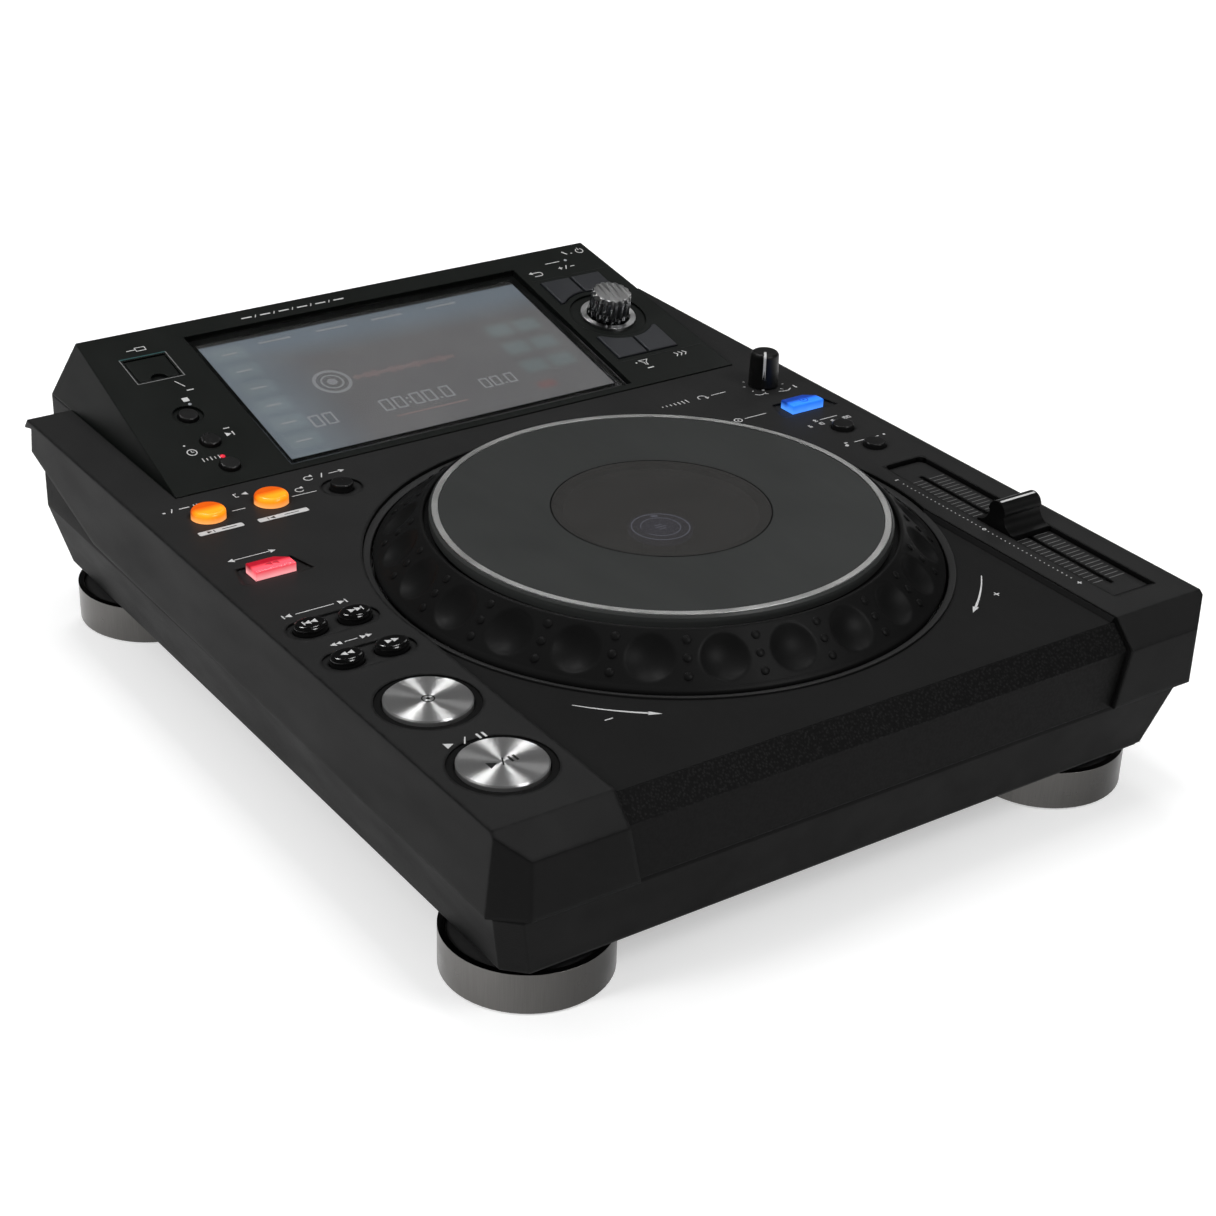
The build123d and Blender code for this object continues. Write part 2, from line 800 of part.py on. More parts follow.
with BuildPart() as upper_case:
    add(case_form(outer_side, 0))
    add(case_form(cavity_side, case_skin), mode=Mode.SUBTRACT)
    # Hood over the rear sockets
    block((-hood_half, cheek_y - case_skin, hood_low_height), (hood_half, rear_y, deck_height))
    block(
        (-hood_inner_half, cheek_y - case_skin - overrun, hood_low_height - overrun),
        (hood_inner_half, rear_y + overrun, deck_underside),
        Mode.SUBTRACT,
    )
    # Openings under the screen housing and round the jog wheel
    block(
        (-opening_half, wedge_front_y + wedge_seat, deck_underside - overrun),
        (opening_half, rear_y - hood_edge, deck_height + overrun),
        Mode.SUBTRACT,
    )
    with BuildSketch(deck):
        centre_outline(0, panel_front_y)
    extrude(amount=-(case_skin + overrun), mode=Mode.SUBTRACT)
    with BuildSketch(Plane.XZ.offset(overrun - front_y)):
        Polygon(*trim_window, align=None)
    extrude(amount=-(overrun + panel_front_y - front_y), mode=Mode.SUBTRACT)
    # Fader well, with a ramp at its front end
    block(
        (fader_x - fader_well_half, fader_well_front_y, deck_underside - overrun),
        (fader_x + fader_well_half, fader_y + fader_well_rear, deck_height + overrun),
        Mode.SUBTRACT,
    )
    with BuildSketch(Plane.YZ.offset(fader_x)):
        Polygon(
            (fader_well_front_y, deck_underside),
            (fader_well_front_y, deck_height),
            (fader_well_front_y - fader_ramp, deck_height),
            align=None,
        )
    extrude(amount=fader_well_half, both=True, mode=Mode.SUBTRACT)
    # Shallow wells round keys
    with BuildSketch(deck.offset(-shallow_well)):
        with Locations((pair_x, track_y), (pair_x, search_y)):
            SlotOverall(pair_well_width, pair_well_depth)
        with Locations(reloop_place):
            Circle(reloop_well_radius)
        with Locations(direction_place, jog_mode_place):
            Polygon(
                (-bar_well_width / 2, -bar_well_depth / 2),
                (bar_well_width / 2, -bar_well_depth / 2),
                (bar_well_far_width / 2, bar_well_depth / 2),
                (-bar_well_far_width / 2, bar_well_depth / 2),
                align=None,
            )
    extrude(amount=shallow_well + overrun, mode=Mode.SUBTRACT)
    for key in deck_keys:
        key_hole(key)
    # Holes for the transport rings and the speed knob's shaft
    with BuildSketch(deck):
        with Locations(*transport_places.values()):
            Circle(transport_ring_radius + seat_gap)
        with Locations(speed_knob_place):
            Circle(speed_shaft_radius + touch_gap)
    extrude(amount=-(case_skin + overrun), mode=Mode.SUBTRACT)
    # Screw bosses and the posts that carry the key boards
    with BuildSketch(Plane.XY.offset(flange_top)):
        with Locations(*boss_places):
            Circle(boss_radius)
    extrude(amount=deck_underside - flange_top)
    with BuildSketch(Plane.XY.offset(flange_top)):
        with Locations(*boss_places):
            Circle(pilot_radius)
    extrude(amount=pilot_depth, mode=Mode.SUBTRACT)
    with BuildSketch(Plane.XY.offset(board_top)):
        with Locations(*board_posts):
            Circle(board_post_radius)
    extrude(amount=board_drop)
keep(upper_case, "upper_case")


# Lower case
def tub_outline(inset, rear_inset):
    half = body_width / 2 - tub_inset - inset
    rear_half = hood_half - tub_block_gap - inset
    front = front_y + tub_front_inset + inset
    shoulder = cheek_y - case_skin - tub_gap - inset
    rear = rear_wall_y - rear_inset
    return [
        (tub_corner_cut - half, front),
        (half - tub_corner_cut, front),
        (half, front + tub_corner_cut),
        (half, shoulder),
        (rear_half, shoulder),
        (rear_half, rear),
        (-rear_half, rear),
        (-rear_half, shoulder),
        (-half, shoulder),
        (-half, front + tub_corner_cut),
    ]


def tub_form(inset, low):
    # Sloping walls up to the break, then upright ones
    slope_share = (tub_break_height - low) / (tub_break_height - tub_low_height)
    with BuildPart() as form:
        with BuildSketch(Plane.XY.offset(tub_break_height)):
            Polygon(*tub_outline(inset, inset), align=None)
        extrude(amount=deck_underside - tub_top_drop - tub_break_height)
        with BuildSketch(Plane.XY.offset(low)):
            Polygon(*tub_outline(inset + tub_slope_inset * slope_share, inset), align=None)
        with BuildSketch(Plane.XY.offset(tub_break_height)):
            Polygon(*tub_outline(inset, inset), align=None)
        loft(ruled=True)
    return form.part


rear_window_half = rear_panel_width / 2 - rear_window_margin
with BuildPart() as lower_case:
    add(tub_form(0, tub_low_height))
    add(tub_form(tub_wall, flange_top), mode=Mode.SUBTRACT)
    with BuildSketch(Plane.XY.offset(tub_low_height)):
        Polygon(*tub_outline(tub_slope_inset + flange_width, flange_width), align=None)
    extrude(amount=flange_thickness, mode=Mode.SUBTRACT)
    # Room for the bevel at the front
    block(
        (-body_width, front_y, deck_height - tub_front_drop),
        (body_width, panel_front_y + tub_wall, deck_height),
        Mode.SUBTRACT,
    )
    # Window behind the rear panel
    block(
        (-rear_window_half, rear_wall_y - tub_wall - overrun, rear_panel_low + rear_window_margin),
        (rear_window_half, rear_wall_y + overrun, rear_panel_high - rear_window_margin),
        Mode.SUBTRACT,
    )
    with BuildSketch(Plane.XY.offset(tub_low_height)):
        with Locations(*boss_places):
            Circle(pilot_radius)
    extrude(amount=flange_thickness, mode=Mode.SUBTRACT)
keep(lower_case, "lower_case")


# Base plate with the standoffs for its boards
def board_corners(x, y, width, depth):
    return [
        (x + side_x * (width / 2 - board_corner), y + side_y * (depth / 2 - board_corner))
        for side_x in (-1, 1)
        for side_y in (-1, 1)
    ]


standoff_places = board_corners(main_board_x, main_board_y, main_board_width, main_board_depth)
standoff_places += board_corners(power_board_x, power_board_y, power_board_width, power_board_depth)
with BuildPart() as base_plate:
    with BuildSketch(Plane.XY.offset(base_height)):
        Polygon(*tub_outline(tub_slope_inset + base_margin, base_margin), align=None)
        with Locations(*boss_places):
            Circle(pilot_radius, mode=Mode.SUBTRACT)
    extrude(amount=base_sheet)
    with BuildSketch(Plane.XY.offset(tub_low_height)):
        with Locations(*standoff_places):
            Circle(standoff_radius)
    extrude(amount=standoff_height)
keep(base_plate, "base_plate")

with BuildPart() as case_screws:
    with BuildSketch(Plane.XY.offset(base_height)):
        with Locations(*boss_places):
            Circle(screw_radius)
    extrude(amount=screw_length)
    with BuildSketch(Plane.XY.offset(base_height)):
        with Locations(*boss_places):
            Circle(screw_head_radius)
    extrude(amount=-screw_head_height)
keep(case_screws, "case_screws")

# Feet
foot_radius = foot_ring_radius - foot_ring_wall - seat_gap
with BuildPart() as foot_bases:
    with BuildSketch(Plane.XY):
        with Locations(*foot_places):
            Circle(foot_radius + foot_lip_width)
    extrude(amount=foot_lip_height)
    with BuildSketch(Plane.XY):
        with Locations(*foot_places):
            Circle(foot_radius)
    extrude(amount=foot_neck_height)
    with BuildSketch(Plane.XY):
        with Locations(*foot_places):
            Circle(foot_neck_radius)
    extrude(amount=base_height)
keep(foot_bases, "foot_bases")

with BuildPart() as foot_rings:
    with BuildSketch(Plane.XY.offset(foot_lip_height)):
        with Locations(*foot_places):
            Circle(foot_ring_radius)
            Circle(foot_ring_radius - foot_ring_wall, mode=Mode.SUBTRACT)
    extrude(amount=foot_ring_height - foot_lip_height)
keep(foot_rings, "foot_rings")

# Centre panel and front trim
with BuildPart() as centre_panel:
    with BuildSketch(Plane.XY.offset(deck_underside)):
        centre_outline(panel_flange, panel_front_y + seam_gap)
        with Locations((jog_x, jog_y)):
            Circle(jog_hole_radius, mode=Mode.SUBTRACT)
    extrude(amount=-panel_thickness)
keep(centre_panel, "centre_panel")

trim_inner = case_skin + trim_thickness
with BuildPart() as front_trim:
    with BuildSketch(Plane.YZ.offset(strip_x)):
        Polygon(
            (front_y + case_skin, front_fold_height),
            bevel_low(case_skin),
            bevel_top(case_skin),
            (panel_front_y, deck_height - trim_inner),
            bevel_low(trim_inner),
            (front_y + trim_inner, front_fold_height),
            align=None,
        )
    extrude(amount=strip_half_width + panel_flange, both=True)
keep(front_trim, "front_trim")

# Jog wheel
panel_underside = deck_underside - panel_thickness
pan_floor = pan_height + pan_sheet
with BuildPart() as jog_chassis:
    with BuildSketch(jog_section):
        Polygon(
            (0, pan_height),
            (pan_wall_radius, pan_height),
            (pan_wall_radius, panel_underside),
            (pan_wall_radius - pan_sheet, panel_underside),
            (pan_wall_radius - pan_sheet, pan_floor),
            (spindle_foot_radius, pan_floor),
            (spindle_foot_radius, bearing_low),
            (spindle_radius, bearing_low),
            (spindle_radius, spindle_top),
            (0, spindle_top),
            align=None,
        )
    revolve(axis=jog_axis)
keep(jog_chassis, "jog_chassis")

with BuildPart() as jog_bearing:
    with BuildSketch(Plane.XY.offset(bearing_low)):
        with Locations((jog_x, jog_y)):
            Circle(bearing_radius)
            Circle(spindle_radius + running_gap, mode=Mode.SUBTRACT)
    extrude(amount=bearing_width)
keep(jog_bearing, "jog_bearing")

rim_slope_rise = rim_slope_top_height - rim_slope_low_height
rim_slope_length = math.hypot(rim_slope_run, rim_slope_rise)
dimple_offset = math.sqrt(dimple_ball_radius**2 - dimple_radius**2)
dimple_centre_radius = (rim_slope_low_radius + rim_slope_top_radius) / 2
dimple_centre_radius += dimple_offset * rim_slope_rise / rim_slope_length
dimple_centre_height = (rim_slope_low_height + rim_slope_top_height) / 2
dimple_centre_height += dimple_offset * rim_slope_run / rim_slope_length
hub_low = bearing_low - hub_overhang
with BuildPart() as jog_rim:
    with BuildSketch(jog_section):
        Polygon(
            (bearing_radius + running_gap, hub_low),
            (hub_radius, hub_low),
            (hub_radius, web_height),
            (rim_skirt_radius, web_height),
            (rim_skirt_radius, rim_low_height),
            (rim_radius, rim_low_height),
            (rim_radius, rim_edge_height),
            (rim_slope_low_radius, rim_slope_low_height),
            (rim_slope_top_radius, rim_slope_top_height),
            (groove_outer_radius, rim_slope_top_height),
            (groove_outer_radius, groove_floor_height),
            (plate_seat_outer_radius, groove_floor_height),
            (plate_seat_outer_radius, plate_seat_height),
            (plate_seat_inner_radius, plate_seat_height),
            (plate_seat_inner_radius, web_height + web_thickness),
            (hub_lip_radius, web_height + web_thickness),
            (hub_lip_radius, bearing_top + seat_gap),
            (bearing_radius + running_gap, bearing_top + seat_gap),
            align=None,
        )
    revolve(axis=jog_axis)
    with Locations((jog_x, jog_y, dimple_centre_height)):
        with PolarLocations(dimple_centre_radius, dimple_count, start_angle=dimple_first_angle):
            Sphere(dimple_ball_radius, mode=Mode.SUBTRACT)
keep(jog_rim, "jog_rim")

ring_floor = plate_top_height + ring_proud - ring_height
window_floor = plate_top_height - window_thickness
with BuildPart() as jog_plate:
    with BuildSketch(jog_section):
        Polygon(
            (window_radius - window_ledge, plate_seat_height),
            (plate_radius, plate_seat_height),
            (plate_radius, plate_top_height - plate_edge_bevel),
            (plate_radius - plate_edge_bevel, plate_top_height),
            (ring_outer_radius + seat_gap, plate_top_height),
            (ring_outer_radius + seat_gap, ring_floor),
            (ring_inner_radius - seat_gap, ring_floor),
            (ring_inner_radius - seat_gap, plate_top_height),
            (window_radius + seat_gap, plate_top_height),
            (window_radius + seat_gap, window_floor),
            (window_radius - window_ledge, window_floor),
            align=None,
        )
    revolve(axis=jog_axis)
keep(jog_plate, "jog_plate")

with BuildPart() as jog_trim_ring:
    with BuildSketch(Plane.XY.offset(ring_floor)):
        with Locations((jog_x, jog_y)):
            Circle(ring_outer_radius)
            Circle(ring_inner_radius, mode=Mode.SUBTRACT)
    extrude(amount=ring_height)
keep(jog_trim_ring, "jog_trim_ring")

with BuildPart() as jog_window:
    with BuildSketch(Plane.XY.offset(window_floor)):
        with Locations((jog_x, jog_y)):
            Circle(window_radius)
    extrude(amount=window_thickness)
keep(jog_window, "jog_window")

with BuildPart() as jog_display:
    with BuildSketch(Plane.XY.offset(spindle_top)):
        with Locations((jog_x, jog_y)):
            Circle(small_display_radius)
    extrude(amount=small_display_thickness)
keep(jog_display, "jog_display")

# Transport buttons and their rings
ring_top = deck_height - transport_ring_sink
ring_low = ring_top - transport_ring_depth
ring_bore = disc_radius + disc_gap
with BuildPart() as transport_rings:
    for place in transport_places.values():
        with BuildSketch(Plane.XY.offset(ring_low)):
            with Locations(place):
                Circle(transport_ring_radius)
                Circle(ring_bore, mode=Mode.SUBTRACT)
        extrude(amount=transport_ring_depth)
        with BuildSketch(Plane.XY.offset(ring_low)):
            with Locations(place):
                Circle(transport_ring_radius + transport_ring_flange)
                Circle(ring_bore, mode=Mode.SUBTRACT)
        extrude(amount=deck_underside - ring_low)
keep(transport_rings, "transport_rings")

for label, place in transport_places.items():
    with BuildPart() as disc:
        with BuildSketch(Plane.XY.offset(disc_low)):
            with Locations(place):
                Circle(disc_radius)
        extrude(amount=deck_height + disc_rise - disc_low)
        chamfer(disc.faces().sort_by(Axis.Z)[-1].edges(), disc_crown)
        with BuildSketch(Plane.XY.offset(disc_low)):
            with Locations(place):
                Circle(disc_radius + disc_flange)
        extrude(amount=-key_flange_thickness)
    keep(disc, label)

# Keys
for key in deck_keys + slope_keys:
    make_key(key)

# Key boards, with a switch under each key
left_board_x = left_column_x - pair_shift
left_board_low_y = front_y + left_board_front_margin
left_board_high_y = wedge_front_y - left_board_rear_margin
left_board_right = left_board_x + left_board_width / 2
board_bottom = board_top - board_thickness
left_key_places = [key.place for key in deck_keys if key.place[0] < jog_x]
right_key_places = [key.place for key in deck_keys if key.place[0] > jog_x]
with BuildPart() as left_key_board:
    block(
        (left_board_x - left_board_width / 2, left_board_low_y, board_bottom),
        (left_board_right, left_board_high_y, board_top),
    )
    block(
        (left_board_right, left_board_high_y - left_board_arm_depth, board_bottom),
        (left_board_right + left_board_arm_reach, left_board_high_y, board_top),
    )
    with BuildSketch(Plane.XY.offset(board_bottom)):
        with Locations(*boss_places):
            Circle(boss_radius + touch_gap)
    extrude(amount=board_thickness, mode=Mode.SUBTRACT)
    with BuildSketch(Plane.XY.offset(board_top)):
        with Locations(*left_key_places):
            Rectangle(switch_side, switch_side)
    extrude(amount=switch_height)
    with BuildSketch(Plane.XY.offset(board_top)):
        with Locations(*transport_places.values()):
            Rectangle(switch_side, switch_side)
    extrude(amount=disc_switch_height)
keep(left_key_board, "left_key_board")

right_board_low_y = front_y + right_board_front_share * deck_depth
with BuildPart() as right_key_board:
    block(
        (right_column_x - right_board_width / 2, right_board_low_y, board_bottom),
        (right_column_x + right_board_width / 2, right_board_low_y + right_board_depth, board_top),
    )
    with BuildSketch(Plane.XY.offset(board_bottom)):
        with Locations(*boss_places):
            Circle(boss_radius + touch_gap)
    extrude(amount=board_thickness, mode=Mode.SUBTRACT)
    with BuildSketch(Plane.XY.offset(board_top)):
        with Locations(*right_key_places):
            Rectangle(switch_side, switch_side)
    extrude(amount=switch_height)
keep(right_key_board, "right_key_board")

# Speed knob and potentiometer
with BuildPart() as speed_pot:
    with BuildSketch(Plane.XY.offset(board_top)):
        with Locations(speed_knob_place):
            Rectangle(pot_side, pot_side)
    extrude(amount=pot_height)
    with BuildSketch(Plane.XY.offset(board_top)):
        with Locations(speed_knob_place):
            Circle(pot_bush_radius)
    extrude(amount=board_drop)
    with BuildSketch(Plane.XY.offset(board_top + pot_floor)):
        with Locations(speed_knob_place):
            Circle(speed_shaft_radius + running_gap)
    extrude(amount=board_drop, mode=Mode.SUBTRACT)
keep(speed_pot, "speed_pot")

with BuildPart() as speed_knob:
    with BuildSketch(deck.offset(speed_knob_lift)):
        with Locations(speed_knob_place):
            Circle(speed_knob_base_radius)
    with BuildSketch(deck.offset(speed_knob_lift + speed_knob_height)):
        with Locations(speed_knob_place):
            Circle(speed_knob_radius)
    loft()
    fillet(speed_knob.faces().sort_by(Axis.Z)[-1].edges(), speed_knob_crown)
    with BuildSketch(deck.offset(speed_knob_lift)):
        with Locations(speed_knob_place):
            Circle(speed_shaft_radius)
    extrude(amount=-(speed_knob_lift + speed_shaft_depth))
keep(speed_knob, "speed_knob")

# Tempo fader
plate_low = deck_underside - scale_plate_thickness
slot_half_width = stem_width / 2 + slot_gap
slot_half_length = (fader_travel + stem_depth) / 2 + slot_gap
with BuildPart() as tempo_scale_plate:
    block(
        (fader_x - fader_well_half - scale_plate_flange, fader_well_front_y - scale_plate_flange, plate_low),
        (
            fader_x + fader_well_half + scale_plate_flange,
            fader_y + fader_well_rear + scale_plate_flange,
            deck_underside,
        ),
    )
    block(
        (fader_x - slot_half_width, fader_y - slot_half_length, plate_low),
        (fader_x + slot_half_width, fader_y + slot_half_length, deck_underside),
        Mode.SUBTRACT,
    )
keep(tempo_scale_plate, "tempo_scale_plate")

channel_half_width = slider_width / 2 + touch_gap
channel_half_length = (fader_travel + slider_depth) / 2 + fader_end_play
fader_body_half_length = channel_half_length + fader_end_wall
fader_body_low = plate_low - fader_body_height
with BuildPart() as tempo_fader_body:
    block(
        (fader_x - fader_body_width / 2, fader_y - fader_body_half_length, fader_body_low),
        (fader_x + fader_body_width / 2, fader_y + fader_body_half_length, plate_low),
    )
    block(
        (fader_x - channel_half_width, fader_y - channel_half_length, fader_body_low + fader_body_floor),
        (fader_x + channel_half_width, fader_y + channel_half_length, plate_low),
        Mode.SUBTRACT,
    )
keep(tempo_fader_body, "tempo_fader_body")

slider_low = fader_body_low + fader_body_floor + slider_lift
cap_low = deck_underside + cap_lift
with BuildPart() as tempo_carriage:
    block(
        (fader_x - slider_width / 2, fader_y - slider_depth / 2, slider_low),
        (fader_x + slider_width / 2, fader_y + slider_depth / 2, slider_low + slider_height),
    )
    block(
        (fader_x - stem_width / 2, fader_y - stem_depth / 2, slider_low),
        (fader_x + stem_width / 2, fader_y + stem_depth / 2, cap_low + stem_reach),
    )
keep(tempo_carriage, "tempo_carriage")

cap_top = cap_low + cap_height
cap_neck_height = cap_low + cap_height * cap_neck_share
cap_half = cap_depth / 2
flank_middle = (
    (cap_half + cap_neck_half) / 2 - cap_flank_sag,
    (cap_low + cap_skirt + cap_neck_height) / 2 - cap_flank_sag,
)
with BuildPart() as tempo_cap:
    with BuildSketch(Plane.YZ.offset(fader_x)):
        with BuildLine():
            Polyline(
                (fader_y - cap_half, cap_low + cap_skirt),
                (fader_y - cap_half, cap_low),
                (fader_y + cap_half, cap_low),
                (fader_y + cap_half, cap_low + cap_skirt),
            )
            ThreePointArc(
                (fader_y + cap_half, cap_low + cap_skirt),
                (fader_y + flank_middle[0], flank_middle[1]),
                (fader_y + cap_neck_half, cap_neck_height),
            )
            Line(
                (fader_y + cap_neck_half, cap_neck_height),
                (fader_y + cap_top_half, cap_top - cap_top_half),
            )
            ThreePointArc(
                (fader_y + cap_top_half, cap_top - cap_top_half),
                (fader_y, cap_top),
                (fader_y - cap_top_half, cap_top - cap_top_half),
            )
            Line(
                (fader_y - cap_top_half, cap_top - cap_top_half),
                (fader_y - cap_neck_half, cap_neck_height),
            )
            ThreePointArc(
                (fader_y - cap_neck_half, cap_neck_height),
                (fader_y - flank_middle[0], flank_middle[1]),
                (fader_y - cap_half, cap_low + cap_skirt),
            )
        make_face()
    extrude(amount=cap_width / 2, both=True)
    block(
        (fader_x - stem_width / 2 - seat_gap, fader_y - stem_depth / 2 - seat_gap, cap_low),
        (fader_x + stem_width / 2 + seat_gap, fader_y + stem_depth / 2 + seat_gap, cap_low + stem_reach),
        Mode.SUBTRACT,
    )
keep(tempo_cap, "tempo_cap")


# Screen housing
def wedge_form(side_points, inset, low):
    # What the side and front outlines have in common
    low_half = hood_half - inset + wedge_lean * (deck_height - low)
    high = wedge_top_height + overrun
    high_half = wedge_top_width / 2 - inset - wedge_lean * overrun
    with BuildPart() as form:
        with BuildSketch(Plane.YZ):
            Polygon(*side_points, align=None)
        extrude(amount=body_width / 2, both=True)
        with BuildSketch(Plane.XZ):
            Polygon((-low_half, low), (low_half, low), (high_half, high), (-high_half, high), align=None)
        extrude(amount=body_depth / 2, both=True, mode=Mode.INTERSECT)
    return form.part


wedge_low = deck_height - overrun
skin_drop = wedge_skin / math.cos(slope_angle)
skin_run = wedge_skin * math.hypot(1, back_lean)
slope_grade = math.tan(slope_angle)
cavity_front_y = wedge_front_y + (wedge_low - slope_start + skin_drop) / slope_grade
cavity_top = slope_start - skin_drop
cavity_top += slope_grade * (rear_y - skin_run + back_lean * deck_height - wedge_front_y)
cavity_top /= 1 + slope_grade * back_lean
cavity_top_y = rear_y - skin_run - back_lean * (cavity_top - deck_height)
wedge_side = [
    (wedge_front_y, deck_height),
    (wedge_front_y, slope_start),
    (wedge_top_y, wedge_top_height),
    (rear_y, deck_height),
]
wedge_cavity_side = [
    (cavity_front_y, wedge_low),
    (cavity_top_y, cavity_top),
    (rear_y - skin_run + back_lean * overrun, wedge_low),
]
frame_depth = ledge_depth + glass_ledge
glass_front_along = glass_along - glass_depth / 2
glass_rear_along = glass_along + glass_depth / 2
frame_front_along = glass_front_along - frame_front_margin
frame_rear_along = glass_rear_along + frame_margin
with BuildPart() as screen_housing:
    add(wedge_form(wedge_side, 0, deck_height))
    add(wedge_form(wedge_cavity_side, wedge_skin, wedge_low), mode=Mode.SUBTRACT)
    # Frame under the skin that the glass and the display sit in
    with BuildSketch(slope):
        with Locations((0, (frame_front_along + frame_rear_along) / 2)):
            Rectangle(glass_width + 2 * frame_margin, frame_rear_along - frame_front_along)
    extrude(amount=-frame_depth)
    with BuildSketch(slope.offset(-ledge_depth)):
        with Locations((0, glass_along)):
            Rectangle(glass_width + 2 * touch_gap, glass_depth + 2 * touch_gap)
    extrude(amount=ledge_depth + overrun, mode=Mode.SUBTRACT)
    with BuildSketch(slope.offset(-frame_depth - overrun)):
        with Locations((0, display_along)):
            Rectangle(display_width + 2 * touch_gap, display_depth + 2 * touch_gap)
    extrude(amount=frame_depth + overrun, mode=Mode.SUBTRACT)
    # Well for the flap, the port's mouth and the flap's pin holes
    with BuildSketch(slope.offset(-usb_well_sink)):
        with Locations((usb_x, usb_along)):
            Rectangle(usb_well_width, usb_well_depth)
    extrude(amount=usb_well_sink + overrun, mode=Mode.SUBTRACT)
    with BuildSketch(slope.offset(-wedge_skin - overrun)):
        with Locations((usb_x, usb_along)):
            Rectangle(port_mouth_width, port_mouth_height)
    extrude(amount=wedge_skin + overrun, mode=Mode.SUBTRACT)
    with BuildSketch(Plane(slope.from_local_coords((usb_x, hinge_along, -flap_depth)), z_dir=(1, 0, 0))):
        Circle(flap_pin_radius + running_gap)
    extrude(amount=flap_width / 2 + flap_pin_reach + touch_gap, both=True, mode=Mode.SUBTRACT)
    # Wells round a key and the selector
    with BuildSketch(slope.offset(-usb_stop_well_sink)):
        with Locations(usb_stop_place):
            Circle(usb_stop_well_radius)
    extrude(amount=usb_stop_well_sink + overrun, mode=Mode.SUBTRACT)
    with BuildSketch(slope.offset(-dish_sink)):
        with Locations((selector_x, selector_along)):
            Circle(dish_radius)
    extrude(amount=dish_sink + overrun, mode=Mode.SUBTRACT)
    with BuildSketch(slope.offset(-wedge_skin - overrun)):
        with Locations((selector_x, selector_along)):
            Circle(encoder_bush_radius + touch_gap)
    extrude(amount=wedge_skin + 2 * overrun, mode=Mode.SUBTRACT)
    for key in slope_keys:
        key_hole(key)
keep(screen_housing, "screen_housing")

with BuildPart() as touch_glass:
    with BuildSketch(slope.offset(-ledge_depth)):
        with Locations((0, glass_along)):
            Rectangle(glass_width, glass_depth)
    extrude(amount=glass_thickness)
keep(touch_glass, "touch_glass")

module_front_along = display_along - display_depth / 2 - module_rear_margin
module_rear_along = display_along + display_depth / 2 + module_rear_margin
with BuildPart() as display_module:
    with BuildSketch(slope.offset(-frame_depth)):
        with Locations((0, display_along)):
            Rectangle(display_width, display_depth)
    extrude(amount=glass_ledge - display_gap)
    with BuildSketch(slope.offset(-frame_depth)):
        with Locations((0, (module_front_along + module_rear_along) / 2)):
            Rectangle(display_width + 2 * module_margin, module_rear_along - module_front_along)
    extrude(amount=-module_thickness)
keep(display_module, "display_module")

# USB port and flap
with BuildPart() as usb_port:
    with BuildSketch(slope.offset(-wedge_skin)):
        with Locations((usb_x, usb_along)):
            Rectangle(port_width, port_height)
    extrude(amount=-port_depth)
    with BuildSketch(slope.offset(-wedge_skin)):
        with Locations((usb_x, usb_along)):
            Rectangle(port_mouth_width, port_mouth_height)
            Rectangle(tongue_width, tongue_thickness, mode=Mode.SUBTRACT)
    extrude(amount=-port_mouth_depth, mode=Mode.SUBTRACT)
    with BuildSketch(slope.offset(-wedge_skin)):
        with Locations((usb_x, usb_along)):
            Rectangle(tongue_width, tongue_thickness)
    extrude(amount=-tongue_sink, mode=Mode.SUBTRACT)
keep(usb_port, "usb_port")

flap_edge_along = hinge_along - flap_length
hinge_line = Plane(slope.from_local_coords((usb_x, hinge_along, -flap_depth)), z_dir=(1, 0, 0))
with BuildPart() as usb_door:
    with BuildSketch(slope.offset(-flap_depth - flap_thickness / 2)):
        with Locations((usb_x, (flap_edge_along + hinge_along) / 2)):
            Rectangle(flap_width, hinge_along - flap_edge_along)
        with Locations((usb_x, flap_edge_along)):
            Circle(flap_notch_radius, mode=Mode.SUBTRACT)
    extrude(amount=flap_thickness)
    with BuildSketch(hinge_line):
        Circle(flap_thickness / 2)
    extrude(amount=flap_width / 2, both=True)
    with BuildSketch(hinge_line):
        Circle(flap_pin_radius)
    extrude(amount=flap_width / 2 + flap_pin_reach, both=True)
keep(usb_door, "usb_door")

# Selector
with BuildPart() as selector_encoder:
    with BuildSketch(selector.offset(-wedge_skin)):
        Rectangle(encoder_side, encoder_side)
    extrude(amount=-encoder_depth)
    with BuildSketch(selector.offset(-wedge_skin)):
        Circle(encoder_bush_radius)
    extrude(amount=wedge_skin + encoder_bush_rise)
    with BuildSketch(selector.offset(encoder_floor - wedge_skin - encoder_depth)):
        Circle(selector_shaft_radius + running_gap)
    extrude(amount=encoder_depth + wedge_skin, mode=Mode.SUBTRACT)
keep(selector_encoder, "selector_encoder")

with BuildPart() as selector_shaft:
    with BuildSketch(selector.offset(-selector_shaft_depth)):
        Circle(selector_shaft_radius)
    extrude(amount=selector_shaft_depth + selector_shaft_rise)
keep(selector_shaft, "selector_shaft")

with BuildPart() as selector_knob:
    with BuildSketch(selector.offset(knob_lift)):
        Circle(knob_base_radius)
    with BuildSketch(selector.offset(knob_top)):
        Circle(knob_top_radius)
    loft()
    fillet(selector_knob.faces().sort_by(Axis(selector.origin, selector.z_dir))[-1].edges(), knob_crown)
    with BuildSketch(selector.offset(knob_lift)):
        with PolarLocations(knob_base_radius, flute_count):
            Circle(flute_radius)
    extrude(amount=knob_top - knob_lift, mode=Mode.SUBTRACT)
    with BuildSketch(selector.offset(knob_lift)):
        Circle(selector_shaft_radius + running_gap)
    extrude(amount=selector_shaft_rise - knob_lift + seat_gap, mode=Mode.SUBTRACT)
keep(selector_knob, "selector_knob")


